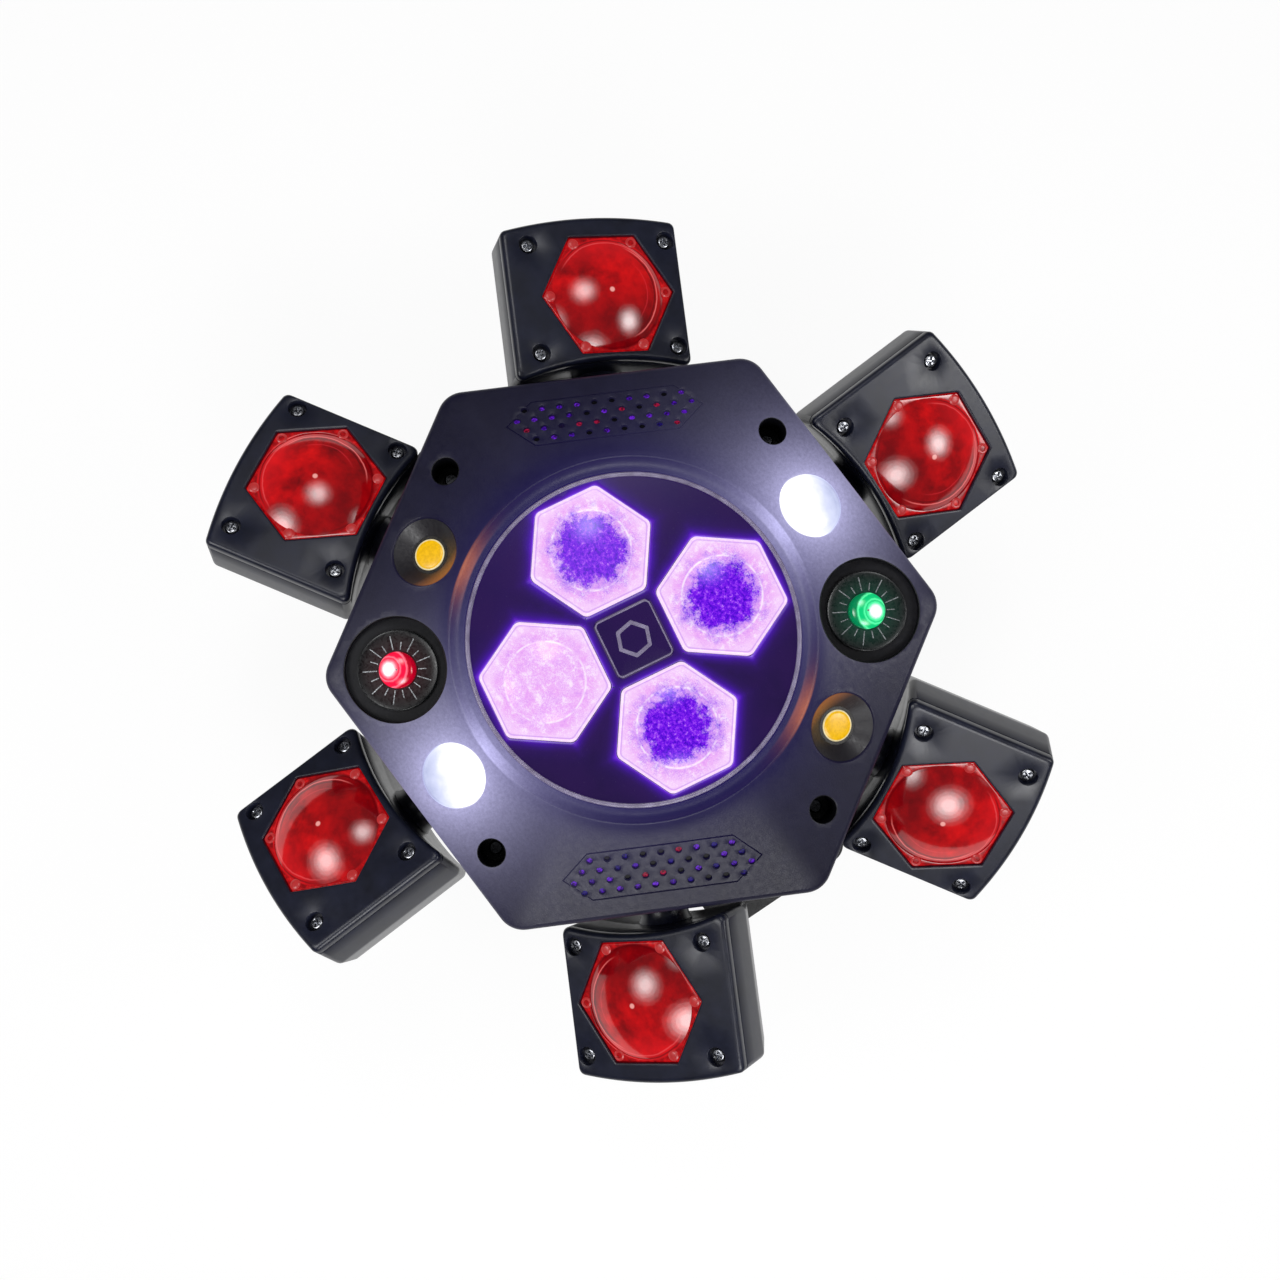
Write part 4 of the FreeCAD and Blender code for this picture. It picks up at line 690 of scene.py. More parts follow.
def solder_mask():
    """Green solder mask over copper: glossy, with lighter tracks on an 8 mm raster."""
    made, tree, shader = finish_of("Green solder mask", IOR=1.5, Roughness=0.28)
    place = add(tree, "ShaderNodeTexCoord", give="Object")
    tracks = add(tree, "ShaderNodeTexBrick", {"Vector": place, "Scale": per_mm(8.0), "Color1": "#0c3a1e",
                                              "Color2": "#0f4a26", "Mortar": "#1f7a43", "Mortar Size": 0.03})
    dress(tree, shader, Base_Color=tracks)
    return made


ABS_FRONT = grained_abs("Grained black ABS, lit", glow=True)
# A darker copy of the grained ABS for the walls of the laser cups and access holes: painted shade in them
ABS_CUP_SHADE = grained_abs("Grained black ABS, deep cups", "#090910", "#040408")
ABS_HEAD = satin_abs()
ABS_BASE = grained_abs("Grained black ABS, base", "#1c1c21", "#121216")
ACRYLIC = polished_acrylic()
RIDGE = satin_ridge()
VIOLET_LENS = lit_violet_lens()
RED_LENS = clear_red_acrylic()
RED_PAD = plain_glow("Red acrylic pad", "#c43434", 0.6, "#4a0206")
OPAL = lit_diffuser()
AMBER = plain_glow("Amber silicone, lit", "#ecb400", 0.95, "#140d00")
CREAM = plain_glow("Cream ceramic, lit", "#e8d8a4", 0.8, "#3a3528")
CHIP_BOARD = moulded("Dark anodised chip board", "#1a1714", 0.4)
WARM_CONE = warm_cone()
VENT_GLOW = vent_glow()
GREEN_GLASS = laser_glass("Green laser glass", "#02613a", "#06b56a", "#5ff7a8")
RED_GLASS = laser_glass("Red laser glass", "#8c0018", "#e4123c", "#ff7a90")
GREEN_STAR = star_plate("Anodised star disc, green light", "#0a3a2c")
RED_STAR = star_plate("Anodised star disc, red light", "#2c080e")
SILVER = metal("Engraved silver line", "#c9cdd2", 0.3, 0.6)
ZINC = metal("Zinc-plated steel", "#b2b4ba", 0.27, 0.8)
SCREW_DARK = metal("Dark burnished steel", "#4a4b50", 0.3, 0.8)
COATED_STEEL = moulded("Black powder coating", "#17171a", 0.5, 0.9, 0.05)
RUBBER = moulded("Matt black rubber", "#141414", 0.8, 1.4, 0.06)
NYLON = moulded("Black nylon", "#17171a", 0.42)
SILICONE = moulded("Grey silicone rubber", "#5d6068", 0.6)
BELT = moulded("Toothed belt rubber", "#1c1c1c", 0.7, 2.0, 0.2)
ALUMINIUM = metal("Mill-finish aluminium", "#b9bcc0", 0.32, 1.6, (1.0, 6.0, 1.0))
MOTOR_STEEL = metal("Laminated motor steel", "#8b8c90", 0.36, 0.7, (1.0, 1.0, 7.0))
BOARD = solder_mask()
DISPLAY_GLASS = moulded("Dark display glass", "#0b0608", 0.08, 4.0, 0.002)
DIGIT = plain_glow("Lit display segment", "#ff3a2a", 1.0, "#200404")


# Front housing

HOLE_STEPS = {"grille": 14, "access": 48, "strobe": 72, "amber": 72, "laser": 96}


class Hole:
    """A round opening in the outer skin, in its own frame, with its rounded mouth."""

    def __init__(self, kind, place, radius, mouth, upright=False):
        self.place = place
        self.inverse = np.array(place.inverted())
        self.radius = radius
        self.mouth = mouth
        self.upright = upright
        self.count = HOLE_STEPS[kind]

    def rim(self):
        """The loop in the skin where the rounded mouth begins."""
        loop = [self.place @ p for p in circle(self.radius + self.mouth, 0, self.count)]
        return [on_skin(p.x, p.y) for p in loop]

    def level(self, radius, depth):
        """A loop inside the hole, this deep under the skin."""
        if self.upright:
            loop = [self.place @ p for p in circle(radius, 0, self.count)]
            return [Vector((p.x, p.y, q.z - depth)) for p, q in zip(loop, self.rim())]
        return [self.place @ p for p in circle(radius, -depth, self.count)]

    def mouth_loops(self):
        loops = [self.rim()]
        for swing in (30, 60, 90):
            inward = self.mouth * math.sin(math.radians(swing))
            drop = self.mouth * (1 - math.cos(math.radians(swing)))
            loops.append(self.level(self.radius + self.mouth - inward, drop))
        return loops

    def holds(self, points):
        """Which points of the skin lie inside the mouth."""
        padded = np.c_[points, np.ones(len(points))]
        local = padded @ self.inverse.T
        return np.hypot(local[:, 0], local[:, 1])


def upright_frame(place):
    return shift(place.x, place.y, 0)


def grille_spots():
    """Places of the vent holes in a facet's own frame, inner row first."""
    spots = []
    for row, count in enumerate(GRILLE_ROWS):
        down = (row - (len(GRILLE_ROWS) - 1) / 2) * GRILLE_ROW_PITCH
        spots.extend((down, (k - (count - 1) / 2) * GRILLE_PITCH) for k in range(count))
    return spots


def grille_line(angle, inset, sink):
    """One loop of the groove round a vent field, laid on the skin."""
    frame_here = facet_frame(angle, GRILLE_PLACE)
    half_width = GRILLE_WIDTH / 2 - inset
    half_length = GRILLE_LENGTH / 2 - inset * 1.4
    shoulder = GRILLE_LENGTH / 2 - GRILLE_TIP
    corners = [(-half_width, -shoulder), (0, -half_length), (half_width, -shoulder),
               (half_width, shoulder), (0, half_length), (-half_width, shoulder)]
    loop = []
    for k, (x, y) in enumerate(corners):
        following = corners[(k + 1) % len(corners)]
        steps = max(4, round(math.hypot(following[0] - x, following[1] - y) / 2.5))
        for step in range(steps):
            spot = frame_here @ Vector((x + (following[0] - x) * step / steps,
                                        y + (following[1] - y) * step / steps, 0))
            loop.append(on_skin(spot.x, spot.y) - Vector((0, 0, sink)))
    return loop


def housing_holes():
    holes = []
    for angle in FACETS["strobe"]:
        holes.append(("through", Hole("strobe", facet_frame(angle, STROBE_PLACE), STROBE_RADIUS + 0.5, 0.9)))
    for angle in FACETS["amber"]:
        holes.append(("amber", Hole("amber", facet_frame(angle, AMBER_PLACE), AMBER_CUP, 0.7)))
    for angle in LASERS.values():
        spot = polar(LASER_PLACE, angle)
        holes.append(("laser", Hole("laser", upright_frame(spot), LASER_CUP, 0.55, upright=True)))
    for corner, side in SCREW_CORNERS:
        spot = polar(ACCESS_PLACE, corner + side * ACCESS_ANGLE)
        holes.append(("access", Hole("access", upright_frame(spot), ACCESS_RADIUS, 0.4, upright=True)))
    for angle in FACETS["grille"]:
        for down, along in grille_spots():
            place = facet_frame(angle, GRILLE_PLACE) @ shift(down, along, 0)
            spot = on_skin(place.translation.x, place.translation.y)
            seated = shift(0, 0, spot.z - place.translation.z) @ place
            holes.append(("through", Hole("grille", seated, GRILLE_HOLE, 0.22)))
    return holes


def triangulated(loops, loose, keep, lay=on_skin):
    """Triangles over the region that the loops bound: points, and faces whose middle is kept."""
    flat = []
    depths = []
    edges = []
    for loop in loops:
        start = len(flat)
        flat.extend(Vector((p.x, p.y)) for p in loop)
        depths.extend(p.z for p in loop)
        edges.extend((start + k, start + (k + 1) % len(loop)) for k in range(len(loop)))
    flat.extend(Vector((p.x, p.y)) for p in loose)
    depths.extend(p.z for p in loose)
    places, _, faces, sources, _, _ = delaunay_2d_cdt(flat, edges, [], 0, 1e-6)
    points = [Vector((p.x, p.y, depths[source[0]])) if source else lay(p.x, p.y)
              for p, source in zip(places, sources)]
    middles = np.array([[sum(points[k][axis] for k in face) / 3 for axis in range(3)] for face in faces])
    kept = keep(middles)
    return points, [tuple(face) for face, good in zip(faces, kept) if good]


def spill(point, place, reach, fade):
    """Light that falls on a point from a lamp this far away."""
    return math.exp(-max((point - place).length - reach, 0.0) / fade)


def lip(point):
    """One on the raised ring, which stands out into the light of the lamps beside it."""
    return 1.0 if 74.0 < point.xy.length < 78.3 and point.z > 158 else 0.0


def front_housing():
    holes = housing_holes()
    inset = EDGE_ROUND * (1 - math.sin(math.radians(EDGE_START)))
    arc_steps, line_steps = 10, 40
    edge_loop = round_hexagon(EDGE_APOTHEM - inset, EDGE_CORNER - inset, 0, arc_steps, line_steps)
    edge_loop = [on_skin(p.x, p.y) for p in edge_loop]
    ring_loop = circle(RING_RADIUS, RING_HEIGHT, ROUND_STEPS)
    grooves = [[grille_line(angle, inset_mm, sink) for inset_mm, sink in ((0, 0), (0.35, 0.5), (0.7, 0))]
               for angle in FACETS["grille"]]
    loose = [on_skin(*p.xy) for radius in (78.8, 79.8, 81.2, 83.2, 86.0)
             for p in circle(radius, 0, ROUND_STEPS)]
    for row in range(-48, 49):
        for column in range(-45, 46):
            x = (column + (row % 2) / 2) * SKIN_PITCH
            y = row * SKIN_PITCH * math.sqrt(3) / 2
            radius = math.hypot(x, y)
            if radius > 88 and radius < hexagon_reach(math.degrees(math.atan2(y, x))) - inset - 1.5:
                loose.append(on_skin(x, y))
    rows = np.array([list(p) for p in loose])
    free = np.ones(len(rows), bool)
    for kind, hole in holes:
        free &= hole.holds(rows) > hole.radius + hole.mouth + (0.35 if kind != "laser" else 0.8)
    for groove in grooves:
        line = np.array([list(p) for p in groove[1]])
        for chunk in range(0, len(rows), 500):
            part = rows[chunk:chunk + 500, None, :2] - line[None, :, :2]
            free[chunk:chunk + 500] &= np.hypot(part[..., 0], part[..., 1]).min(1) > 1.3
    loose = [p for p, good in zip(loose, free) if good]

    def keep(middles):
        good = np.hypot(middles[:, 0], middles[:, 1]) > RING_RADIUS * math.cos(math.pi / ROUND_STEPS)
        for _, hole in holes:
            rim_apothem = (hole.radius + hole.mouth) * math.cos(math.pi / hole.count)
            good &= hole.holds(middles) > rim_apothem
        bound = np.array([hexagon_reach(math.degrees(math.atan2(y, x))) for x, y, _ in middles]) - inset
        return good & (np.hypot(middles[:, 0], middles[:, 1]) < bound + 0.3)

    rims = [hole.rim() for _, hole in holes]
    lines = [line for three in grooves for line in three]
    points, faces = triangulated([edge_loop, ring_loop, *rims, *lines], loose, keep)
    form = Form()
    form.add(points, faces)
    form.add([p - Vector((0, 0, SHELL_WALL)) for p in points], [face[::-1] for face in faces])
    under = Vector((0, 0, SHELL_WALL))
    for kind, hole in holes:
        inner_rim = [p - under for p in hole.rim()]
        if kind == "through":
            form.skin([*hole.mouth_loops(), hole.level(hole.radius, SHELL_WALL + 0.4), inner_rim])
        elif kind == "amber":
            form.skin([*hole.mouth_loops(), hole.level(AMBER_FOOT, AMBER_DEPTH)], end=True)
            back = hole.level(AMBER_FOOT + 2.0, AMBER_DEPTH + 2.0)
            form.skin([inner_rim, back], end=True)
        else:
            floor = RING_HEIGHT - (LASER_SINK if kind == "laser" else ACCESS_DEPTH)
            side = hole.level(hole.radius, 0)
            bottom = [Vector((p.x, p.y, floor)) for p in side]
            # The cup walls take the darker ABS, as painted shade
            form.skin([*hole.mouth_loops(), bottom], end=True, tag=1)
            form.skin([inner_rim, [Vector((p.x, p.y, floor - 2.0)) for p in hole.rim()]], end=True)

    # Raised ring round the lens disc: round crest, hollow slope, then the wall of the well
    ring = [(RING_RADIUS, RING_HEIGHT), (77.75, 162.16), (77.4, 162.2), (77.1, 162.0)]
    for step in range(9):
        share = step / 8
        ring.append((LIP_RADIUS - (LIP_RADIUS - WELL_RADIUS) * share,
                     RING_HEIGHT - 0.4 - (LIP_DEPTH - 0.4) * (1 - (1 - share) ** 2.4)))
    ring += [(WELL_RADIUS, RING_HEIGHT - WELL_DEPTH), (LIP_RADIUS, RING_HEIGHT - WELL_DEPTH),
             (RING_RADIUS, RING_HEIGHT - SHELL_WALL)]
    form.lathe(ring, ROUND_STEPS)

    # Rounded edge, skirt and its inner side
    edge = [edge_loop]
    for swing in (38, 54, 70, 86, 94):
        out = EDGE_APOTHEM - EDGE_ROUND * (1 - math.sin(math.radians(swing)))
        drop = EDGE_ROUND * (math.cos(math.radians(EDGE_START)) - math.cos(math.radians(swing)))
        loop = round_hexagon(out, EDGE_CORNER - (EDGE_APOTHEM - out), 0, arc_steps, line_steps)
        edge.append([Vector((p.x, p.y, q.z - drop)) for p, q in zip(loop, edge_loop)])
    low = RING_HEIGHT - FACET_RISE - SKIRT_HEIGHT
    foot = EDGE_APOTHEM - SKIRT_DRAFT
    edge.append(round_hexagon(foot, EDGE_CORNER, low + 0.5, arc_steps, line_steps))
    edge.append(round_hexagon(foot - 0.4, EDGE_CORNER - 0.4, low, arc_steps, line_steps))
    edge.append(round_hexagon(foot - SHELL_WALL, EDGE_CORNER - SHELL_WALL, low, arc_steps, line_steps))
    edge.append([p - under for p in edge_loop])
    form.skin(edge)

    lamps = [facet_frame(angle, STROBE_PLACE).translation for angle in FACETS["strobe"]]
    strobe = [sum(spill(p, lamp, STROBE_RADIUS, 17.0) + lip(p) * spill(p, lamp, STROBE_RADIUS + 4, 5.0)
                  for lamp in lamps) if p.z > 144 else 0.0 for p in form.points]
    eyes = [facet_frame(angle, AMBER_PLACE).translation for angle in FACETS["amber"]]
    amber = [sum(lip(p) * spill(p, eye, AMBER_CUP + 4, 4.0) for eye in eyes) for p in form.points]
    violet = [0.025 + 0.26 * math.exp(-max(math.hypot(p.x, p.y) - 70, 0) / 14) if p.z > 143 else 0.0
              for p in form.points]
    marks = {"strobe_light": strobe, "violet_light": violet, "amber_light": amber}
    piece("front_housing_finished", form, [ABS_FRONT, ABS_CUP_SHADE], "turret", TURRET, ["front_housing"],
          40, marks)


# Facet lights

def strobes():
    form = Form()
    outward = []
    for angle in FACETS["strobe"]:
        place = facet_frame(angle, STROBE_PLACE)
        start = len(form.points)
        profile = [(STROBE_RADIUS * math.sin(t), STROBE_CROWN * math.cos(t) - 0.6)
                   for t in [math.radians(d) for d in (6, 15, 25, 35, 45, 55, 65, 74, 82, 88)]]
        profile += [(STROBE_RADIUS, -1.2), (STROBE_RADIUS, -3.2), (STROBE_RADIUS + 2.2, -3.4),
                    (STROBE_RADIUS + 2.2, -5.0), (STROBE_RADIUS - 2.0, -5.0)]
        form.lathe(profile, 72, place, True, True)
        for p in form.points[start:]:
            local = place.inverted() @ p
            outward.append(0.5 + 0.5 * (0.8 * local.x - 0.35 * local.y) / STROBE_RADIUS)
    piece("strobe_domes", form, [OPAL], "turret", TURRET, ["strobe_lenses"],
          marks={"outward": outward})


def ambers():
    form = Form()
    for angle in FACETS["amber"]:
        floor = facet_frame(angle, AMBER_PLACE) @ shift(0, 0, -AMBER_DEPTH)
        eye = [(1.5, 1.25), (3.5, 1.2), (5.2, 1.05), (6.0, 0.85), (6.3, 0.6)]
        form.lathe(eye, 64, floor, True, False, 0)
        form.lathe([(6.3, 0.6), (6.5, 0.7), (6.8, 0.6), (6.9, 0.3)], 64, floor, False, False, 1)
        form.lathe([(6.9, 0.3), (8.3, 0.3), (8.5, 0.1), (8.5, -1.4)], 64, floor, False, True, 2)
    piece("amber_chips", form, [AMBER, CREAM, CHIP_BOARD], "turret", TURRET, ["amber_leds"])


def amber_cones():
    """Thin sheets laid over the walls of the amber cups, carrying painted warm light of the amber LED on the
    outer side of each cone.
    """
    form = Form()
    painted_warm_light = []
    for angle in FACETS["amber"]:
        place = facet_frame(angle, AMBER_PLACE)
        inner = [(AMBER_FOOT - 0.2, -AMBER_DEPTH + 0.35), (AMBER_CUP - 0.35, -0.75)]
        outer = [(AMBER_CUP - 0.2, -0.9), (AMBER_FOOT - 0.05, -AMBER_DEPTH + 0.15)]
        start = len(form.points)
        steps = [(inner[0][0] + (inner[1][0] - inner[0][0]) * k / 5,
                  inner[0][1] + (inner[1][1] - inner[0][1]) * k / 5) for k in range(6)]
        form.lathe([*steps, *outer, steps[0]], 64, place)
        for p in form.points[start:]:
            local = place.inverted() @ p
            # Painted warm light, strongest on the cone's outer side
            side = max(0.0, (-local.x * 0.8 + local.y * 0.45) / AMBER_CUP)
            painted_warm_light.append(min(1.0, side * 1.2) * 0.8)
    piece("amber_cup_linings", form, [WARM_CONE], "turret", TURRET, marks={"outward": painted_warm_light})


def laser_stars():
    """The dark discs in the laser cups, and the glass domes of the lasers."""
    plates = Form()
    domes = Form()
    plate_light = []
    dome_light = []
    floor = RING_HEIGHT - LASER_SINK
    for tag, angle in enumerate(LASERS.values()):
        spot = polar(LASER_PLACE, angle)
        place = shift(spot.x, spot.y, floor)
        start = len(plates.points)
        flat = [(radius, STAR_THICK) for radius in (8.2, 9.5, 11.5, 14.0, 16.4)]
        plates.lathe([*flat, (17.0, 1.75), (17.35, 1.6), (17.4, 1.2), (17.4, 0.0), (8.2, 0.0), flat[0]],
                     96, place, tag=tag)
        for p in plates.points[start:]:
            radius = (p - spot).xy.length
            plate_light.append(min(1.0, (radius - 8.0) / 9.0))
        start = len(domes.points)
        rounds = [(LASER_DOME * math.sin(math.radians(d)), 2.5 + 3.0 * math.cos(math.radians(d)))
                  for d in (8, 18, 28, 38, 48, 58, 68, 78, 88)]
        domes.lathe([*rounds, (LASER_DOME, 1.0), (LASER_DOME, -3.0)], 72, place, True, True, tag)
        for p in domes.points[start:]:
            local = p - spot
            along = polar(1.0, angle)
            side = polar(1.0, angle + 90)
            pear = math.hypot((local.xy.dot(along.xy) - 3.2) / 8.4, (local.xy.dot(side.xy) + 0.8) / 9.0)
            dome_light.append(pear)
    piece("laser_star_plates", plates, [GREEN_STAR, RED_STAR], "turret", TURRET, ["laser_star_discs"],
          marks={"outward": plate_light})
    piece("laser_domes", domes, [GREEN_GLASS, RED_GLASS], "turret", TURRET,
          marks={"outward": dome_light})


# Geometry nodes for what repeats

def tree_with(name, sizes):
    """A geometry node tree with a mesh in and out and named sizes."""
    tree = bpy.data.node_groups.new(name, "GeometryNodeTree")
    tree.interface.new_socket(name="Mesh", in_out="INPUT", socket_type="NodeSocketGeometry")
    for label, value in sizes.items():
        kind = "NodeSocketInt" if isinstance(value, int) else "NodeSocketFloat"
        socket = tree.interface.new_socket(name=label, in_out="INPUT", socket_type=kind)
        socket.default_value = value
    tree.interface.new_socket(name="Mesh", in_out="OUTPUT", socket_type="NodeSocketGeometry")
    return tree, add(tree, "NodeGroupInput").node.outputs


def close_tree(tree, geometry, finish):
    real = add(tree, "GeometryNodeRealizeInstances", {"Geometry": geometry})
    dressed = add(tree, "GeometryNodeSetMaterial", {"Geometry": real, "Material": finish})
    add(tree, "NodeGroupOutput", {"Mesh": dressed})


def baked(name, tree, points, sizes, normals=None):
    """Run a tree on loose points, in millimetres, and keep its result as a plain mesh object."""
    data = bpy.data.meshes.new(name)
    data.from_pydata([p * MM for p in points], [], [])
    if normals:
        field = data.attributes.new("facing", "FLOAT_VECTOR", "POINT")
        field.data.foreach_set("vector", [v for n in normals for v in n])
    source = bpy.data.objects.new(name + "_points", data)
    scene.collection.objects.link(source)
    modifier = source.modifiers.new("Repeat", "NODES")
    modifier.node_group = tree
    for item in tree.interface.items_tree:
        if item.in_out == "INPUT" and item.name in sizes:
            modifier[item.identifier] = sizes[item.name]
    graph = bpy.context.evaluated_depsgraph_get()
    result = bpy.data.meshes.new_from_object(source.evaluated_get(graph))
    bpy.data.objects.remove(source)
    result.name = name
    result.shade_smooth()
    result.set_sharp_from_angle(angle=math.radians(35))
    thing = bpy.data.objects.new(name, result)
    scene.collection.objects.link(thing)
    return thing


def star_rays():
    """Silver rays round each laser: long and short by turns."""
    sizes = {"Rays": 18, "Start": 8.8 * MM, "Long": 6.2 * MM, "Short": 3.4 * MM, "Width": 0.42 * MM,
             "Height": 0.18 * MM}
    tree, given = tree_with("Star rays", sizes)
    spots = add(tree, "GeometryNodePoints", {"Count": given["Rays"]})
    index = add(tree, "GeometryNodeInputIndex")
    turn = add(tree, "ShaderNodeMath", {0: 2 * math.pi, 1: given["Rays"]}, operation="DIVIDE")
    angle = add(tree, "ShaderNodeMath", {0: index, 1: turn}, operation="MULTIPLY")
    odd = add(tree, "ShaderNodeMath", {0: index, 1: 2.0}, operation="MODULO")
    less = add(tree, "ShaderNodeMath", {0: given["Long"], 1: given["Short"]}, operation="SUBTRACT")
    cutback = add(tree, "ShaderNodeMath", {0: odd, 1: less}, operation="MULTIPLY")
    length = add(tree, "ShaderNodeMath", {0: given["Long"], 1: cutback}, operation="SUBTRACT")
    half = add(tree, "ShaderNodeMath", {0: length, 1: 0.5}, operation="MULTIPLY")
    reach = add(tree, "ShaderNodeMath", {0: given["Start"], 1: half}, operation="ADD")
    along = add(tree, "ShaderNodeCombineXYZ", {"X": reach})
    axis = add(tree, "ShaderNodeCombineXYZ", {"Z": 1.0})
    place = add(tree, "ShaderNodeVectorRotate", {"Vector": along, "Axis": axis, "Angle": angle})
    placed = add(tree, "GeometryNodeSetPosition", {"Geometry": spots, "Position": place})
    bar = add(tree, "GeometryNodeMeshCube")
    facing = add(tree, "ShaderNodeCombineXYZ", {"Z": angle})
    stretch = add(tree, "ShaderNodeCombineXYZ", {"X": length, "Y": given["Width"], "Z": given["Height"]})
    rays = add(tree, "GeometryNodeInstanceOnPoints", {"Points": placed, "Instance": bar, "Rotation": facing,
                                                      "Scale": stretch})
    star = add(tree, "GeometryNodeRealizeInstances", {"Geometry": rays})
    every = add(tree, "GeometryNodeMeshToPoints", {"Mesh": given["Mesh"]})
    stars = add(tree, "GeometryNodeInstanceOnPoints", {"Points": every, "Instance": star})
    close_tree(tree, stars, SILVER)

    level = RING_HEIGHT - LASER_SINK + STAR_THICK + 0.02
    places = [TURRET @ polar(LASER_PLACE, laser, level) for laser in LASERS.values()]
    thing = baked("laser_star_rays", tree, places, sizes)
    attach(thing, "turret")


def vent_glows():
    """A small lit lens behind each vent hole, of a random size, with a random tint number."""
    sizes = {"Radius": 1.38 * MM, "Least share": 0.94, "Seed": 7}
    tree, given = tree_with("Vent glows", sizes)
    spots = add(tree, "GeometryNodeMeshToPoints", {"Mesh": given["Mesh"]})
    disc = add(tree, "GeometryNodeMeshCircle", {"Vertices": 12, "Radius": given["Radius"]}, fill_type="NGON")
    facing = add(tree, "GeometryNodeInputNamedAttribute", {"Name": "facing"}, data_type="FLOAT_VECTOR")
    turned = add(tree, "FunctionNodeAlignRotationToVector", {"Vector": facing})
    share = add(tree, "FunctionNodeRandomValue", {"Seed": given["Seed"], "Min": given["Least share"]},
                data_type="FLOAT")
    discs = add(tree, "GeometryNodeInstanceOnPoints", {"Points": spots, "Instance": disc, "Rotation": turned,
                                                       "Scale": share})
    tint = add(tree, "FunctionNodeRandomValue", {"Seed": given["Seed"]}, data_type="FLOAT")
    marked = add(tree, "GeometryNodeStoreNamedAttribute", {"Geometry": discs, "Name": "tint", "Value": tint},
                 data_type="FLOAT", domain="INSTANCE")
    close_tree(tree, marked, VENT_GLOW)

    places = []
    normals = []
    for angle in FACETS["grille"]:
        place = TURRET @ facet_frame(angle, GRILLE_PLACE)
        for down, along in grille_spots():
            here = facet_frame(angle, GRILLE_PLACE) @ Vector((down, along, 0))
            seat_drop = facet_height(here.x, here.y) - here.z
            places.append(place @ Vector((down, along, -VENT_SINK)) + Vector((0, 0, seat_drop)))
            normals.append(place.to_3x3() @ Vector((0, 0, 1)))
    thing = baked("vent_led_lenses", tree, places, sizes, normals)
    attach(thing, "turret")


# Spinning lens disc

def bee_loop(apothem, height, corner=BEE_CORNER):
    """A lens outline in the disc's own frame, on its +X arm, flats facing the middle."""
    return [p + Vector((BEE_PLACE, 0, 0)) for p in
            round_hexagon(apothem, corner, height, 6, 8, FACE_ANGLE / 2)]


def lens_distance(x, y):
    """How far a point of the disc lies outside the nearest lens."""
    best = None
    for k in range(4):
        local = turn_z(-90 * k) @ Vector((x, y, 0)) - Vector((BEE_PLACE, 0, 0))
        reach = max(abs(local.dot(polar(1.0, FACE_ANGLE * side))) for side in range(3))
        best = reach - BEE_APOTHEM if best is None else min(best, reach - BEE_APOTHEM)
    return best


def lens_disc():
    bottom = DISC_TOP - DISC_THICK
    mouth = BEE_APOTHEM + WINDOW_GAP
    windows = [[turn_z(90 * k) @ p for p in bee_loop(mouth, DISC_TOP)] for k in range(4)]
    halo = [turn_z(90 * k) @ p for k in range(4) for margin in (1.8, 3.2, 5.0)
            for p in bee_loop(BEE_APOTHEM + margin, DISC_TOP, BEE_CORNER + margin)]
    loose = []
    for row in range(-26, 27):
        for column in range(-22, 23):
            x = (column + (row % 2) / 2) * DISC_PITCH
            y = row * DISC_PITCH * math.sqrt(3) / 2
            if math.hypot(x, y) < RIDGE_INNER - 1.5 and lens_distance(x, y) > 6.0:
                loose.append(Vector((x, y, DISC_TOP)))
    loose += [p for p in halo if p.xy.length < RIDGE_INNER - 1.2 and lens_distance(p.x, p.y) > 1.5]
    outer = circle(RIDGE_INNER, DISC_TOP, ROUND_STEPS)

    def keep(middles):
        good = np.hypot(middles[:, 0], middles[:, 1]) < RIDGE_INNER
        spots = np.array([lens_distance(x, y) for x, y, _ in middles])
        return good & (spots > WINDOW_GAP)

    points, faces = triangulated([outer, *windows], loose, keep)
    form = Form()
    form.add(points, faces)
    form.add([Vector((p.x, p.y, bottom)) for p in points], [face[::-1] for face in faces])
    for k in range(4):
        loops = [bee_loop(mouth, DISC_TOP), bee_loop(BEE_APOTHEM + 0.45, DISC_TOP - 0.15),
                 bee_loop(BEE_APOTHEM + 0.3, DISC_TOP - 0.5), bee_loop(BEE_APOTHEM + 0.3, bottom + 0.5),
                 bee_loop(mouth, bottom)]
        form.skin([[turn_z(90 * k) @ p for p in loop] for loop in loops])
    ridge = [(RIDGE_INNER, DISC_TOP), (69.25, 158.9), (69.5, 159.35), (69.9, 159.5), (70.6, 159.5),
             (71.0, 159.3), (DISC_RADIUS, 158.9), (DISC_RADIUS, bottom)]
    form.lathe(ridge[1:7], ROUND_STEPS, tag=1)
    for profile in (ridge[:2], ridge[6:], [(DISC_RADIUS, bottom), (RIDGE_INNER, bottom)]):
        form.lathe(profile, ROUND_STEPS)
    # Painted violet glow of the lenses' light on the disc: a faint level, lighter towards the disc's +Y side,
    # and a glow that fades away from each lens
    violet = []
    for p in form.points:
        away = max(lens_distance(p.x, p.y) - 0.3, 0.0)
        painted_glow = 0.08 + 0.08 * max(0.0, p.y / RIDGE_INNER)
        violet.append(min(1.0, painted_glow + 0.72 * math.exp(-away / 1.7) + 0.16 * math.exp(-away / 6.0)))
    piece("lens_disc_finished", form, [ACRYLIC, RIDGE], "lens_wheel", WHEEL, ["lens_disc"], 40,
          {"violet_light": violet})


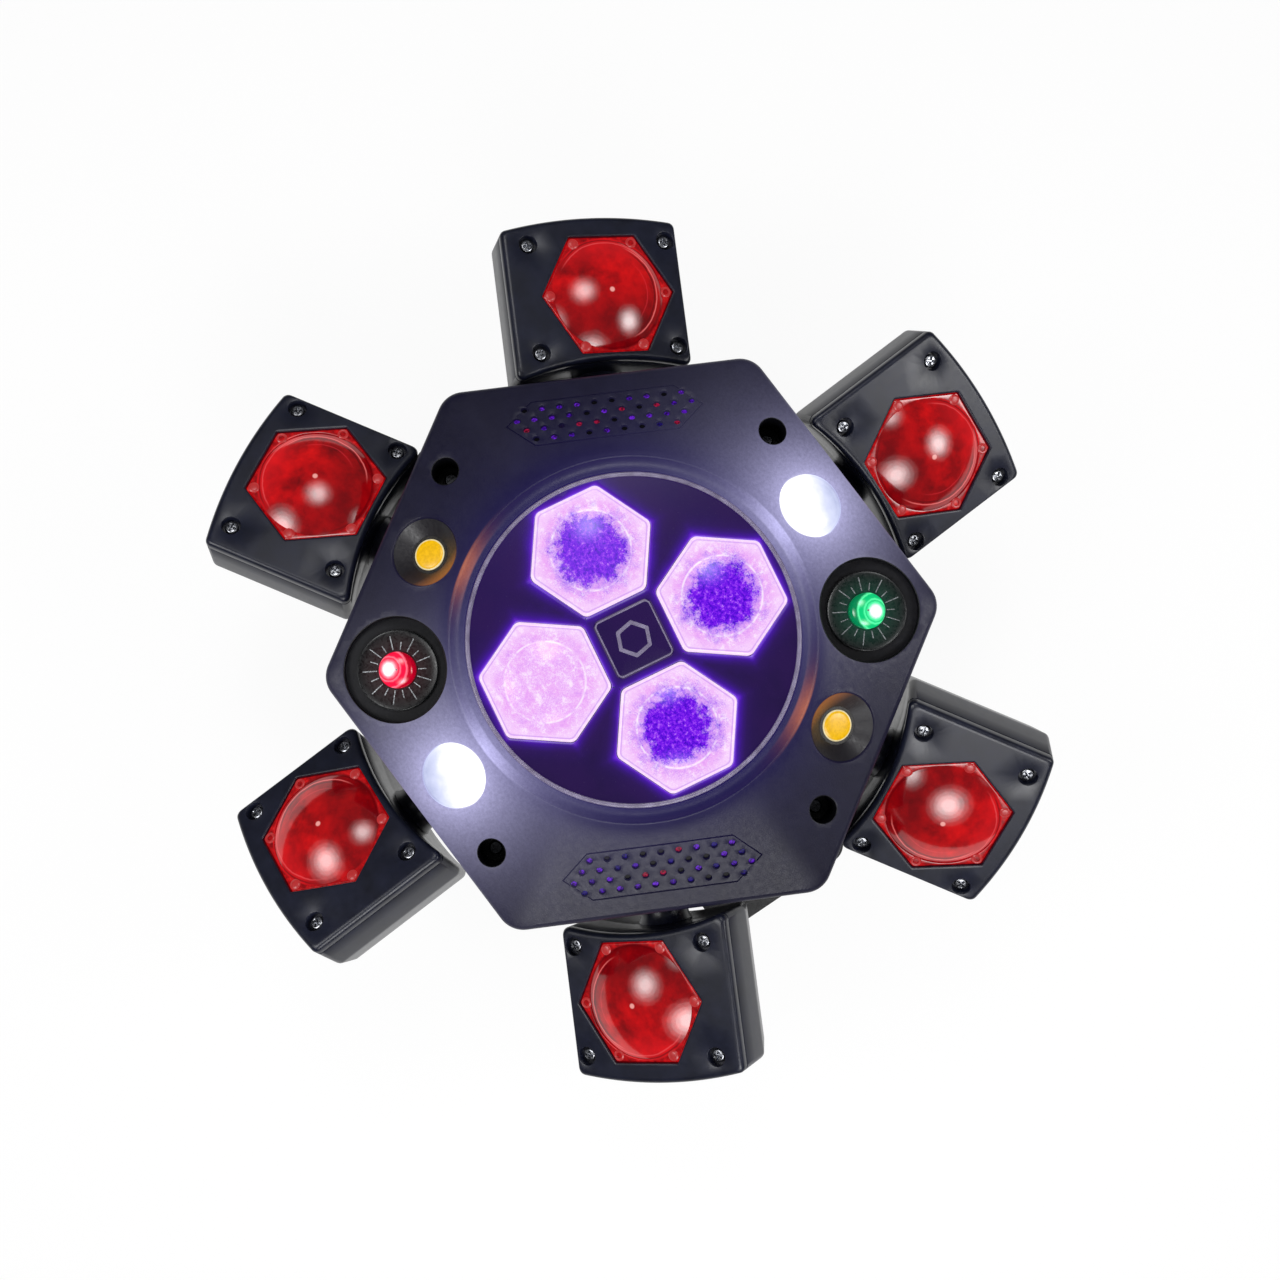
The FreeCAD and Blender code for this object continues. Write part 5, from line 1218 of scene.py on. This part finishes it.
def bee_lenses():
    """Four clear hexagonal lenses: shallow eye in the middle, flat shoulder, rounded rim."""
    steps = len(bee_loop(BEE_APOTHEM, 0))
    top = DISC_TOP + BEE_STAND
    form = Form()
    rims, cores = [], []
    # Whether the violet core shows, by lens, from the one at the top right of the photo anticlockwise
    core_shares = (1.0, 0.92, 0.0, 1.0)
    for k in range(4):
        unit = [(p - Vector((BEE_PLACE, 0, 0))).normalized() for p in bee_loop(BEE_APOTHEM, 0)]
        loops = []
        marks = []
        for share in (0.04, 0.12, 0.22, 0.33, 0.44, 0.55, 0.66, 0.77, 0.88, 0.96, 1.0):
            radius = BEE_EYE * share
            height = top + BEE_EYE_RISE * (1 - share ** 2)
            loops.append([Vector((BEE_PLACE, 0, height)) + u * radius for u in unit])
            marks.append(0.0)
        for share in (0.25, 0.5, 0.75):
            hexed = bee_loop(BEE_APOTHEM - 1.6, top)
            loops.append([(Vector((BEE_PLACE, 0, top)) + u * BEE_EYE).lerp(h, share)
                          for u, h in zip(unit, hexed)])
            marks.append(0.1 * share)
        for inset, drop, mark in ((1.6, 0.0, 0.45), (1.0, 0.05, 0.8), (0.5, 0.25, 1.0), (0.15, 0.6, 1.0),
                                  (0.0, 1.1, 1.0), (0.0, 4.3, 1.0)):
            loops.append(bee_loop(BEE_APOTHEM - inset, top - drop, BEE_CORNER - inset * 0.5))
            marks.append(mark)
        turn = turn_z(90 * k)
        start = len(form.points)
        form.skin([[turn @ p for p in loop] for loop in loops], True, True)
        for number in range(len(form.points) - start):
            row = number // steps
            rims.append(marks[row] if row < len(marks) else 0.0)
            cores.append(core_shares[k])
    thing = piece("bee_lenses_finished", form, [VIOLET_LENS], "lens_wheel", WHEEL, ["bee_lenses"],
                  50, {"rim": rims, "core": cores})

    # Each point's place from the middle of its own lens, so that the core sits there
    inverse = WHEEL.inverted()
    field = thing.data.attributes.new("lens_spot", "FLOAT_VECTOR", "POINT")
    values = []
    for vertex in thing.data.vertices:
        p = inverse @ (vertex.co / MM)
        quarter = round(math.degrees(math.atan2(p.y, p.x)) / 90) % 4
        local = turn_z(-90 * quarter) @ p - Vector((BEE_PLACE, 0, 0))
        back = turn_z(90 * quarter) @ Vector((local.x, local.y, 0)) / BEE_APOTHEM
        values.extend((back.x, back.y, 0.0))
    field.data.foreach_set("vector", values)


def centre_badge():
    """The small square plate: polished, with a fine border and a plain six-sided ring."""
    form = Form()
    half = BADGE_SIDE / 2

    def square(inset, height):
        reach = half - inset
        corner = max(BADGE_CORNER - inset, 0.4)
        loop = []
        for k in range(4):
            middle = turn_z(90 * k) @ Vector((reach - corner, reach - corner, 0))
            loop.extend(middle + polar(corner, 90 * k + 90 * step / 6) for step in range(7))
        return [Vector((p.x, p.y, height)) for p in loop]

    top = DISC_TOP + BADGE_THICK
    form.skin([square(1.6, top - 0.1), square(1.3, top - 0.05)], start=True)
    form.skin([square(1.3, top - 0.05), square(1.2, top + 0.12), square(0.75, top + 0.12),
               square(0.6, top - 0.05)], tag=1)
    form.skin([square(0.6, top - 0.05), square(0.3, top - 0.12), square(0.0, top - 0.5),
               square(0.0, DISC_TOP)], end=True)
    loops = [round_hexagon(size, 0.7, height, 4, 3, 15.0) for size, height in
             ((5.4, top - 0.1), (5.4, top + 0.12), (7.0, top + 0.12), (7.0, top - 0.1), (5.4, top - 0.1))]
    form.skin(loops, tag=1)
    # An even painted violet glow of the lenses' light on the plate
    painted_glow = [0.12] * len(form.points)
    piece("centre_plate_finished", form, [ACRYLIC, RIDGE], "lens_wheel", WHEEL, ["centre_plate"],
          35, {"violet_light": painted_glow})


# Lamp heads, each in its own frame: X along the arm, Z square to the face

HEAD_MIDDLE = Vector((LENS_PLACE, LENS_SHIFT, 0))


def head_loop(height, inset, low_inset=None):
    """Outline of a lamp head at a height, drawn in all round: two straight sides, two round ends."""
    corner = HEAD_CORNER
    low_inset = inset if low_inset is None else low_inset
    rise = min(max((height - HEAD_BACK) / (HEAD_KNEE - HEAD_BACK), 0.0), 1.0)
    taper = HEAD_INSET * (1 - rise)
    high = HEAD_HIGH - taper - inset
    low = taper + low_inset - HEAD_LOW
    inner = HEAD_INNER + inset
    outer = HEAD_OUTER - inset

    def middle(edge, sign, reach):
        across = edge - sign * corner
        return Vector((math.sqrt(reach ** 2 - across ** 2), across, 0))

    outer_low, outer_high = middle(low, -1, outer - corner), middle(high, 1, outer - corner)
    inner_low, inner_high = middle(low, -1, inner + corner), middle(high, 1, inner + corner)

    def bearing(p):
        return math.degrees(math.atan2(p.y, p.x))

    def arc(centre, radius, begin, finish, steps):
        return [centre + polar(radius, begin + (finish - begin) * k / steps) for k in range(steps)]

    def line(first, last, steps):
        return [first.lerp(last, k / steps) for k in range(steps)]

    loop = arc(Vector(), outer, bearing(outer_low), bearing(outer_high), 30)
    loop += arc(outer_high, corner, bearing(outer_high), 90, 7)
    loop += line(outer_high + Vector((0, corner, 0)), inner_high + Vector((0, corner, 0)), 12)
    loop += arc(inner_high, corner, 90, 180 + bearing(inner_high), 7)
    loop += arc(Vector(), inner, bearing(inner_high), bearing(inner_low), 24)
    loop += arc(inner_low, corner, 180 + bearing(inner_low), 270, 7)
    loop += line(inner_low - Vector((0, corner, 0)), outer_low - Vector((0, corner, 0)), 12)
    loop += arc(outer_low, corner, 270, 360 + bearing(outer_low), 7)
    return [Vector((p.x, p.y, height)) for p in loop]


def within(points, loop):
    """Which points lie inside a closed outline, seen from above."""
    x, y = points[:, 0], points[:, 1]
    inside = np.zeros(len(points), bool)
    for a, b in zip(loop, loop[1:] + loop[:1]):
        if a.y != b.y:
            crossed = (a.y > y) != (b.y > y)
            inside ^= crossed & (x < a.x + (y - a.y) * (b.x - a.x) / (b.y - a.y))
    return inside


def head_casing_form():
    """Moulded casing: hollow, round at all edges, with its neck and the collar that holds it."""
    bottom = HEAD_FRONT - BEZEL_THICK
    inside = [(HEAD_BACK + HEAD_WALL, HEAD_WALL + 0.6), (HEAD_BACK + HEAD_WALL, HEAD_WALL + 0.1),
              (HEAD_BACK + HEAD_WALL + 0.5, HEAD_WALL), (HEAD_KNEE, HEAD_WALL), (bottom - 0.1, HEAD_WALL)]
    outside = [(bottom - 0.1, 0.45), (bottom - 0.2, 0.15), (bottom - 0.45, 0.0), (20.0, 0.0),
               (HEAD_KNEE + 1.2, 0.0), (HEAD_KNEE, 0.12), (HEAD_KNEE - 1.2, 0.0), (0.0, 0.0), (-12.0, 0.0),
               (-21.0, 0.0), (-23.2, 0.5), (-24.9, 1.6), (-25.7, 2.9), (HEAD_BACK, 4.4), (HEAD_BACK, 5.2)]
    form = Form()
    form.skin([head_loop(height, inset) for height, inset in inside + outside], True, True)
    along = Matrix.Rotation(math.radians(90), 4, "Y")
    neck = [(2.7, 84.3), (13.5, 84.3), (14.0, 84.8), (14.0, 87.5), (13.5, 88.0), (11.5, 88.0), (11.0, 88.5),
            (11.0, 124.5), (11.6, 127.0), (13.0, 129.2), (13.0, 131.0), (2.7, 131.0), (2.7, 84.3)]
    form.lathe(neck, 56, along)
    return form


def head_bezel_form():
    """Front plate: softly rounded outer edge, window for the lens and four screw wells."""
    top, bottom = HEAD_FRONT, HEAD_FRONT - BEZEL_THICK
    edge = [(top, BEZEL_ROUND)]
    for swing in (18, 36, 54, 72, 90):
        edge.append((top - BEZEL_ROUND * (1 - math.cos(math.radians(swing))),
                     BEZEL_ROUND * (1 - math.sin(math.radians(swing)))))
    edge += [(bottom + 0.45, 0.0), (bottom + 0.2, 0.15), (bottom + 0.1, 0.45), (bottom + 0.1, 2.0)]
    outer = [head_loop(height, inset, min(inset, LOW_ROUND * inset / BEZEL_ROUND)) for height, inset in edge]
    apothem = (LENS_RADIUS + 0.35) * math.cos(math.radians(FACE_ANGLE / 2))

    def window(height, grow):
        loop = round_hexagon(apothem + grow, 0.8 + grow, height, 4, 10, FACE_ANGLE / 2)
        return [p + HEAD_MIDDLE for p in loop]

    def well(spot, height, radius):
        return [p + Vector((*spot, 0)) for p in circle(radius, height, 40)]

    mouth = [window(top, 0.6), window(top - 0.12, 0.25), window(top - 0.5, 0.0), window(bottom + 0.1, 0.0)]
    hold = [head_loop(top, BEZEL_ROUND + 0.5, LOW_ROUND + 0.07), window(top, 1.1)]
    wells = [well(spot, top, SCREW_WELL + 0.2) for spot in SCREW_SPOTS]

    def keep(middles):
        good = within(middles, outer[0]) & ~within(middles, mouth[0])
        for loop in wells:
            good &= ~within(middles, loop)
        return good

    form = Form()
    form.add(*triangulated([outer[0], mouth[0], *wells, *hold], [], keep, lambda x, y: Vector((x, y, top))))
    form.skin(outer)
    form.skin(mouth)
    for spot in SCREW_SPOTS:
        form.skin([well(spot, top, SCREW_WELL + 0.2), well(spot, top - 0.06, SCREW_WELL + 0.06),
                   well(spot, top - 0.2, SCREW_WELL), well(spot, top - SCREW_SINK, SCREW_WELL),
                   well(spot, top - SCREW_SINK, SCREW_WELL - 0.4)], end=True)
    under, faces = triangulated([outer[-1], mouth[-1]], [],
                                lambda middles: within(middles, outer[-1]) & ~within(middles, mouth[-1]))
    form.add(under, [face[::-1] for face in faces])
    return form


def head_lens_form():
    """Red lens: hexagonal flange and domed eye, with marks for its pattern of light."""
    apothem = LENS_RADIUS * math.cos(math.radians(FACE_ANGLE / 2))
    flange = HEAD_FRONT - LENS_SINK
    foot = HEAD_FRONT - BEZEL_THICK - 1.8

    def hexed(inset, height):
        return [p + HEAD_MIDDLE for p in round_hexagon(apothem - inset, 0.8, height, 4, 12, FACE_ANGLE / 2)]

    unit = [(p - HEAD_MIDDLE).normalized() for p in hexed(0, 0)]
    ball = (LENS_DOME ** 2 + LENS_CROWN ** 2) / (2 * LENS_CROWN)
    loops = []
    for share in (0.02, 0.05, 0.1, 0.18, 0.26, 0.35, 0.44, 0.53, 0.62, 0.7, 0.77, 0.83, 0.88, 0.92, 0.95,
                  0.98, 1.0):
        radius = LENS_DOME * share
        height = flange + math.sqrt(ball ** 2 - radius ** 2) - (ball - LENS_CROWN)
        loops.append([HEAD_MIDDLE + Vector((0, 0, height)) + u * radius for u in unit])
    loops += [[HEAD_MIDDLE + Vector((0, 0, flange + 0.05)) + u * (LENS_DOME + 0.3) for u in unit],
              hexed(0.9, flange + 0.05), hexed(0.5, flange), hexed(0.15, flange - 0.25),
              hexed(0.0, flange - 0.7), hexed(0.0, foot),
              [HEAD_MIDDLE + Vector((0, 0, foot)) + u * (LENS_DOME - 1.0) for u in unit]]
    for share in (0.8, 0.5, 0.2):
        radius = (LENS_DOME - 1.0) * share
        loops.append([HEAD_MIDDLE + Vector((0, 0, foot + 3.2 * (1 - share ** 2))) + u * radius for u in unit])
    form = Form()
    form.skin(loops, True, True)
    form.marks["radial"] = [(p - HEAD_MIDDLE).xy.length / LENS_DOME for p in form.points]
    form.marks["low_side"] = [(HEAD_MIDDLE.y - p.y) / LENS_DOME for p in form.points]
    form.marks["outer_side"] = [(p.x - HEAD_MIDDLE.x) / LENS_DOME for p in form.points]
    return form


def head_pads_form():
    """Corner pads of the red lens, the two at its low inner side with a dark hole."""
    form = Form()
    flange = HEAD_FRONT - LENS_SINK
    foot = [(PAD_RADIUS, 0.0), (PAD_RADIUS, -0.5)]
    for k in range(SIDES):
        spot = HEAD_MIDDLE + polar(PAD_PLACE, FACE_ANGLE / 2 + FACE_ANGLE * k)
        place = shift(spot.x, spot.y, flange)
        if k in (4, 5):
            # A shallow hole floored with dark steel: painted shade standing for a deep hole
            form.lathe([(0.3, -0.2), (1.1, -0.2), (1.25, 0.2)], 24, place, True, False, 1)
            form.lathe([(1.25, 0.2), (1.5, 0.65), (2.0, 0.7), (2.4, 0.45), *foot], 24, place, False, True)
        else:
            form.lathe([(0.6, 0.8), (1.4, 0.76), (2.0, 0.6), (2.4, 0.3), *foot], 24, place, True, True)
    return form


def screw_form():
    """Pan-head screw with a cross recess, cut by shaping the rings of its head."""
    crown = 1.75
    loops = []
    for radius, height in ((0.25, 1.0), (0.6, 1.0), (1.0, 1.0), (1.5, 1.15), (1.9, 1.7), (2.1, 1.95),
                           (2.5, 1.85), (2.85, 1.45), (3.0, 0.8), (3.0, 0.0)):
        loop = circle(radius, max(height, crown) if radius < 1.9 else height, SCREW_STEPS)
        for p in loop:
            if radius < CROSS_REACH and min(abs(p.x), abs(p.y)) < CROSS_HALF:
                p.z = CROSS_FLOOR
        loops.append(loop)
    return Form().skin(loops, True, True)


def screw_tree(prototype):
    """A screw at each point, turned at random about its own axis."""
    tree, given = tree_with("Head screws", {"Seed": 3})
    spots = add(tree, "GeometryNodeMeshToPoints", {"Mesh": given["Mesh"]})
    screw = add(tree, "GeometryNodeObjectInfo", {"Object": prototype}, give="Geometry")
    facing = add(tree, "GeometryNodeInputNamedAttribute", {"Name": "facing"}, data_type="FLOAT_VECTOR")
    upright = add(tree, "FunctionNodeAlignRotationToVector", {"Vector": facing})
    swing = add(tree, "FunctionNodeRandomValue", {"Seed": given["Seed"], "Max": math.pi}, data_type="FLOAT")
    spin = add(tree, "ShaderNodeCombineXYZ", {"Z": swing})
    turned = add(tree, "FunctionNodeRotateRotation", {"Rotation": upright, "Rotate By": spin},
                 rotation_space="LOCAL")
    screws = add(tree, "GeometryNodeInstanceOnPoints", {"Points": spots, "Instance": screw,
                                                        "Rotation": turned})
    close_tree(tree, screws, ZINC)
    return tree


def lamp_heads():
    casing = head_casing_form()
    bezel = head_bezel_form()
    lens = head_lens_form()
    pads = head_pads_form()
    model = screw_form()
    data = bpy.data.meshes.new("screw_model")
    data.from_pydata([p * MM for p in model.points], [], model.faces)
    prototype = bpy.data.objects.new("screw_model", data)
    scene.collection.objects.link(prototype)
    tree = screw_tree(prototype)
    for index in range(SIDES):
        number = index + 1
        body = "head_%d" % number
        place = head_place(index)
        piece("head_shell_%d" % number, casing, [ABS_HEAD], body, place, ["head_casing_%d" % number])
        piece("head_face_%d" % number, bezel, [ABS_HEAD], body, place, ["head_bezel_%d" % number])
        piece("red_lens_%d" % number, lens, [RED_LENS], body, place, ["head_lens_%d" % number],
              25, lens.marks)
        piece("lens_pads_%d" % number, pads, [RED_PAD, SCREW_DARK], body, place)
        spots = [place @ Vector((x, y, HEAD_FRONT - SCREW_SINK)) for x, y in SCREW_SPOTS]
        normals = [place.to_3x3() @ Vector((0, 0, 1))] * len(spots)
        screws = baked("cross_screws_%d" % number, tree, spots, {"Seed": number}, normals)
        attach(screws, body)
        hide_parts("head_screws_%d" % number)
    bpy.data.objects.remove(prototype)


# Base: the construction's pieces with rounded edges, and the display's digits

def base_pieces():
    for node, width, finish, slot in (("rear_shell", 0.9, ABS_BASE, "black_abs"),
                                      ("base_shell", 0.5, ABS_BASE, "black_abs"),
                                      ("hanging_strap", 0.5, COATED_STEEL, "coated_steel"),
                                      ("base_plate", 0.3, COATED_STEEL, "coated_steel"),
                                      ("power_inlet", 0.25, NYLON, "black_nylon"),
                                      ("dmx_sockets", 0.25, NYLON, "socket_zinc"),
                                      ("rubber_feet", 0.8, RUBBER, "rubber")):
        rounded_copy(node, width, finish)


def display_digits():
    """Three lit seven-segment digits, 001, on the display glass."""
    low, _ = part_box("display_board")
    front = low.y / MM
    form = Form()
    upright = Matrix.Rotation(math.radians(90), 4, "X")
    # Middle of each bar from the middle of its digit, in half digits, and whether it stands upright
    bars = {"a": (0, 1, False), "b": (1, 0.5, True), "c": (1, -0.5, True), "d": (0, -1, False),
            "e": (-1, -0.5, True), "f": (-1, 0.5, True)}
    for k, digit in enumerate(("abcdef", "abcdef", "bc")):
        for segment in digit:
            across, up, tall = bars[segment]
            x = DIGITS_X + (k - 1) * DIGIT_PITCH + across * DIGIT_HALF_WIDTH
            z = DIGITS_Z + up * DIGIT_HALF_HEIGHT
            length, height = (0.9, 3.6) if tall else (3.8, 0.9)
            form.block(length, height, -0.05, 0.12, shift(x, front, z) @ upright)
    piece("display_digits", form, [DIGIT], "base")


def dress_nodes():
    """Materials for the construction's pieces that show as they are."""
    finishes = {"pan_spindle": NYLON, "motor_pulley": ALUMINIUM, "pan_motor": MOTOR_STEEL, "pan_belt": BELT,
                "display_board": DISPLAY_GLASS, "power_supply": BOARD, "cover_screws": SCREW_DARK,
                "arm_motors": MOTOR_STEEL, "disc_motor": MOTOR_STEEL, "laser_modules": ALUMINIUM,
                "grille_boards": BOARD, "disc_board": BOARD}
    finishes.update({"menu_button_%d" % (k + 1): SILICONE for k in range(4)})
    finishes.update({"head_led_%d" % (k + 1): ALUMINIUM for k in range(SIDES)})
    for name, finish in finishes.items():
        data = frame["nodes"][name].data
        data.materials.clear()
        data.materials.append(finish)


# Camera at the photo's place: 567 mm from the ring, a little off the axis

FOCUS = 567.0
FOCAL_PIXELS = 1350.0
PHOTO_PIXELS = 1280.0
AXIS_PIXEL = (634.0, 638.4)
TILT = (-1.16, -3.04)
PHOTO_TURN = 56.5
LAMP_DISTANCE = 900.0

# Studio lamps: name, angles right and up in the photo, half angle of the disc, and radiance
LAMPS = (("Left lamp", -42, -8, 21, 10.5), ("Right lamp", 51, 0, 17, 13.0), ("Lower lamp", 8, -42, 24, 12.0),
         ("Upper lamp", -4, 28, 17, 9.0))
LAMP_RINGS = ((1.0, 0.05), (0.8, 0.12), (0.62, 0.23), (0.45, 0.3), (0.28, 0.3))
WORLD_LEVEL = 0.1
FLOOR_WHITE = 0.93
FLOOR_REACH = 4.0


def photo_axes():
    """Right, up and towards-camera directions of the photo in the frame of the light."""
    towards = Vector((math.tan(math.radians(TILT[0])), math.tan(math.radians(TILT[1])), 1)).normalized()
    right = Vector((0, 1, 0)).cross(towards).normalized()
    up = towards.cross(right)
    turn = turn_z(PHOTO_TURN).to_3x3()
    return turn @ right, turn @ up, turn @ towards


def make_camera():
    right, up, towards = photo_axes()
    data = bpy.data.cameras.new("Photo camera")
    data.sensor_width = 36.0
    data.lens = FOCAL_PIXELS / PHOTO_PIXELS * data.sensor_width
    data.shift_x = (PHOTO_PIXELS / 2 - AXIS_PIXEL[0]) / PHOTO_PIXELS
    data.shift_y = (AXIS_PIXEL[1] - PHOTO_PIXELS / 2) / PHOTO_PIXELS
    data.clip_start = 0.01
    data.clip_end = 20.0
    camera = bpy.data.objects.new("Photo camera", data)
    spot = (Vector((0, 0, RING_HEIGHT)) + towards * FOCUS) * MM
    rows = zip(right, up, towards, spot)
    camera.matrix_world = Matrix([*[list(row) for row in rows], [0, 0, 0, 1]])
    scene.collection.objects.link(camera)
    scene.camera = camera


def soft_lamp(name, right, up, spread_angle, radiance):
    """A round studio lamp, placed by its angles off straight above in the photo's own directions. Discs
    inside each other make its edge soft."""
    turn = turn_z(PHOTO_TURN)
    sight = Vector((math.tan(math.radians(right)), math.tan(math.radians(up)), 1)).normalized()
    middle = Vector((0, 0, RING_HEIGHT))
    for ring, (share, part) in enumerate(LAMP_RINGS):
        data = bpy.data.lights.new("%s %d" % (name, ring + 1), "AREA")
        data.shape = "DISK"
        data.size = 2 * (LAMP_DISTANCE - ring) * math.tan(math.radians(spread_angle)) * share * MM
        data.energy = radiance * part * math.pi * math.pi * data.size ** 2 / 4
        lamp = bpy.data.objects.new(data.name, data)
        lamp.location = (middle + turn @ sight * (LAMP_DISTANCE - ring)) * MM
        lamp.rotation_euler = (turn @ -sight).to_track_quat("-Z", "Y").to_euler()
        scene.collection.objects.link(lamp)


def make_stage():
    data = bpy.data.meshes.new("floor")
    corners = [(x * FLOOR_REACH, y * FLOOR_REACH, 0) for x, y in ((-1, -1), (1, -1), (1, 1), (-1, 1))]
    data.from_pydata(corners, [], [(0, 1, 2, 3)])
    floor = bpy.data.objects.new("floor", data)
    scene.collection.objects.link(floor)
    made, tree, shader = finish_of("White floor paper", Base_Color="#f2f2f2", Roughness=0.9)
    path = add(tree, "ShaderNodeLightPath").node.outputs
    seen = path["Is Camera Ray"]
    for ray in ("Is Glossy Ray", "Is Transmission Ray"):
        seen = add(tree, "ShaderNodeMath", {0: seen, 1: path[ray]}, operation="MAXIMUM")
    share = add(tree, "ShaderNodeMath", {0: seen, 1: FLOOR_WHITE}, operation="MULTIPLY")
    glow = add(tree, "ShaderNodeEmission", {"Color": "#ffffff", "Strength": 1.0})
    both = add(tree, "ShaderNodeMixShader", {0: share, 1: shader.outputs[0], 2: glow})
    tree.links.new(both, tree.nodes["Material Output"].inputs["Surface"])
    data.materials.append(made)


def make_world():
    world = bpy.data.worlds.new("Studio")
    scene.world = world
    world.use_nodes = True
    tree = world.node_tree
    backdrop = tree.nodes["Background"]
    seen = add(tree, "ShaderNodeLightPath", give="Is Camera Ray")
    level = add(tree, "ShaderNodeMath", {0: seen, 1: 1 - WORLD_LEVEL}, operation="MULTIPLY")
    level = add(tree, "ShaderNodeMath", {0: level, 1: WORLD_LEVEL}, operation="ADD")
    feed(tree, backdrop.inputs["Color"], "#ffffff")
    feed(tree, backdrop.inputs["Strength"], level)


make_camera()
make_world()
make_stage()
for lamp in LAMPS:
    soft_lamp(*lamp)
front_housing()
strobes()
ambers()
amber_cones()
laser_stars()
star_rays()
vent_glows()
lens_disc()
bee_lenses()
centre_badge()
lamp_heads()
base_pieces()
display_digits()
dress_nodes()

scene.view_settings.view_transform = "Standard"
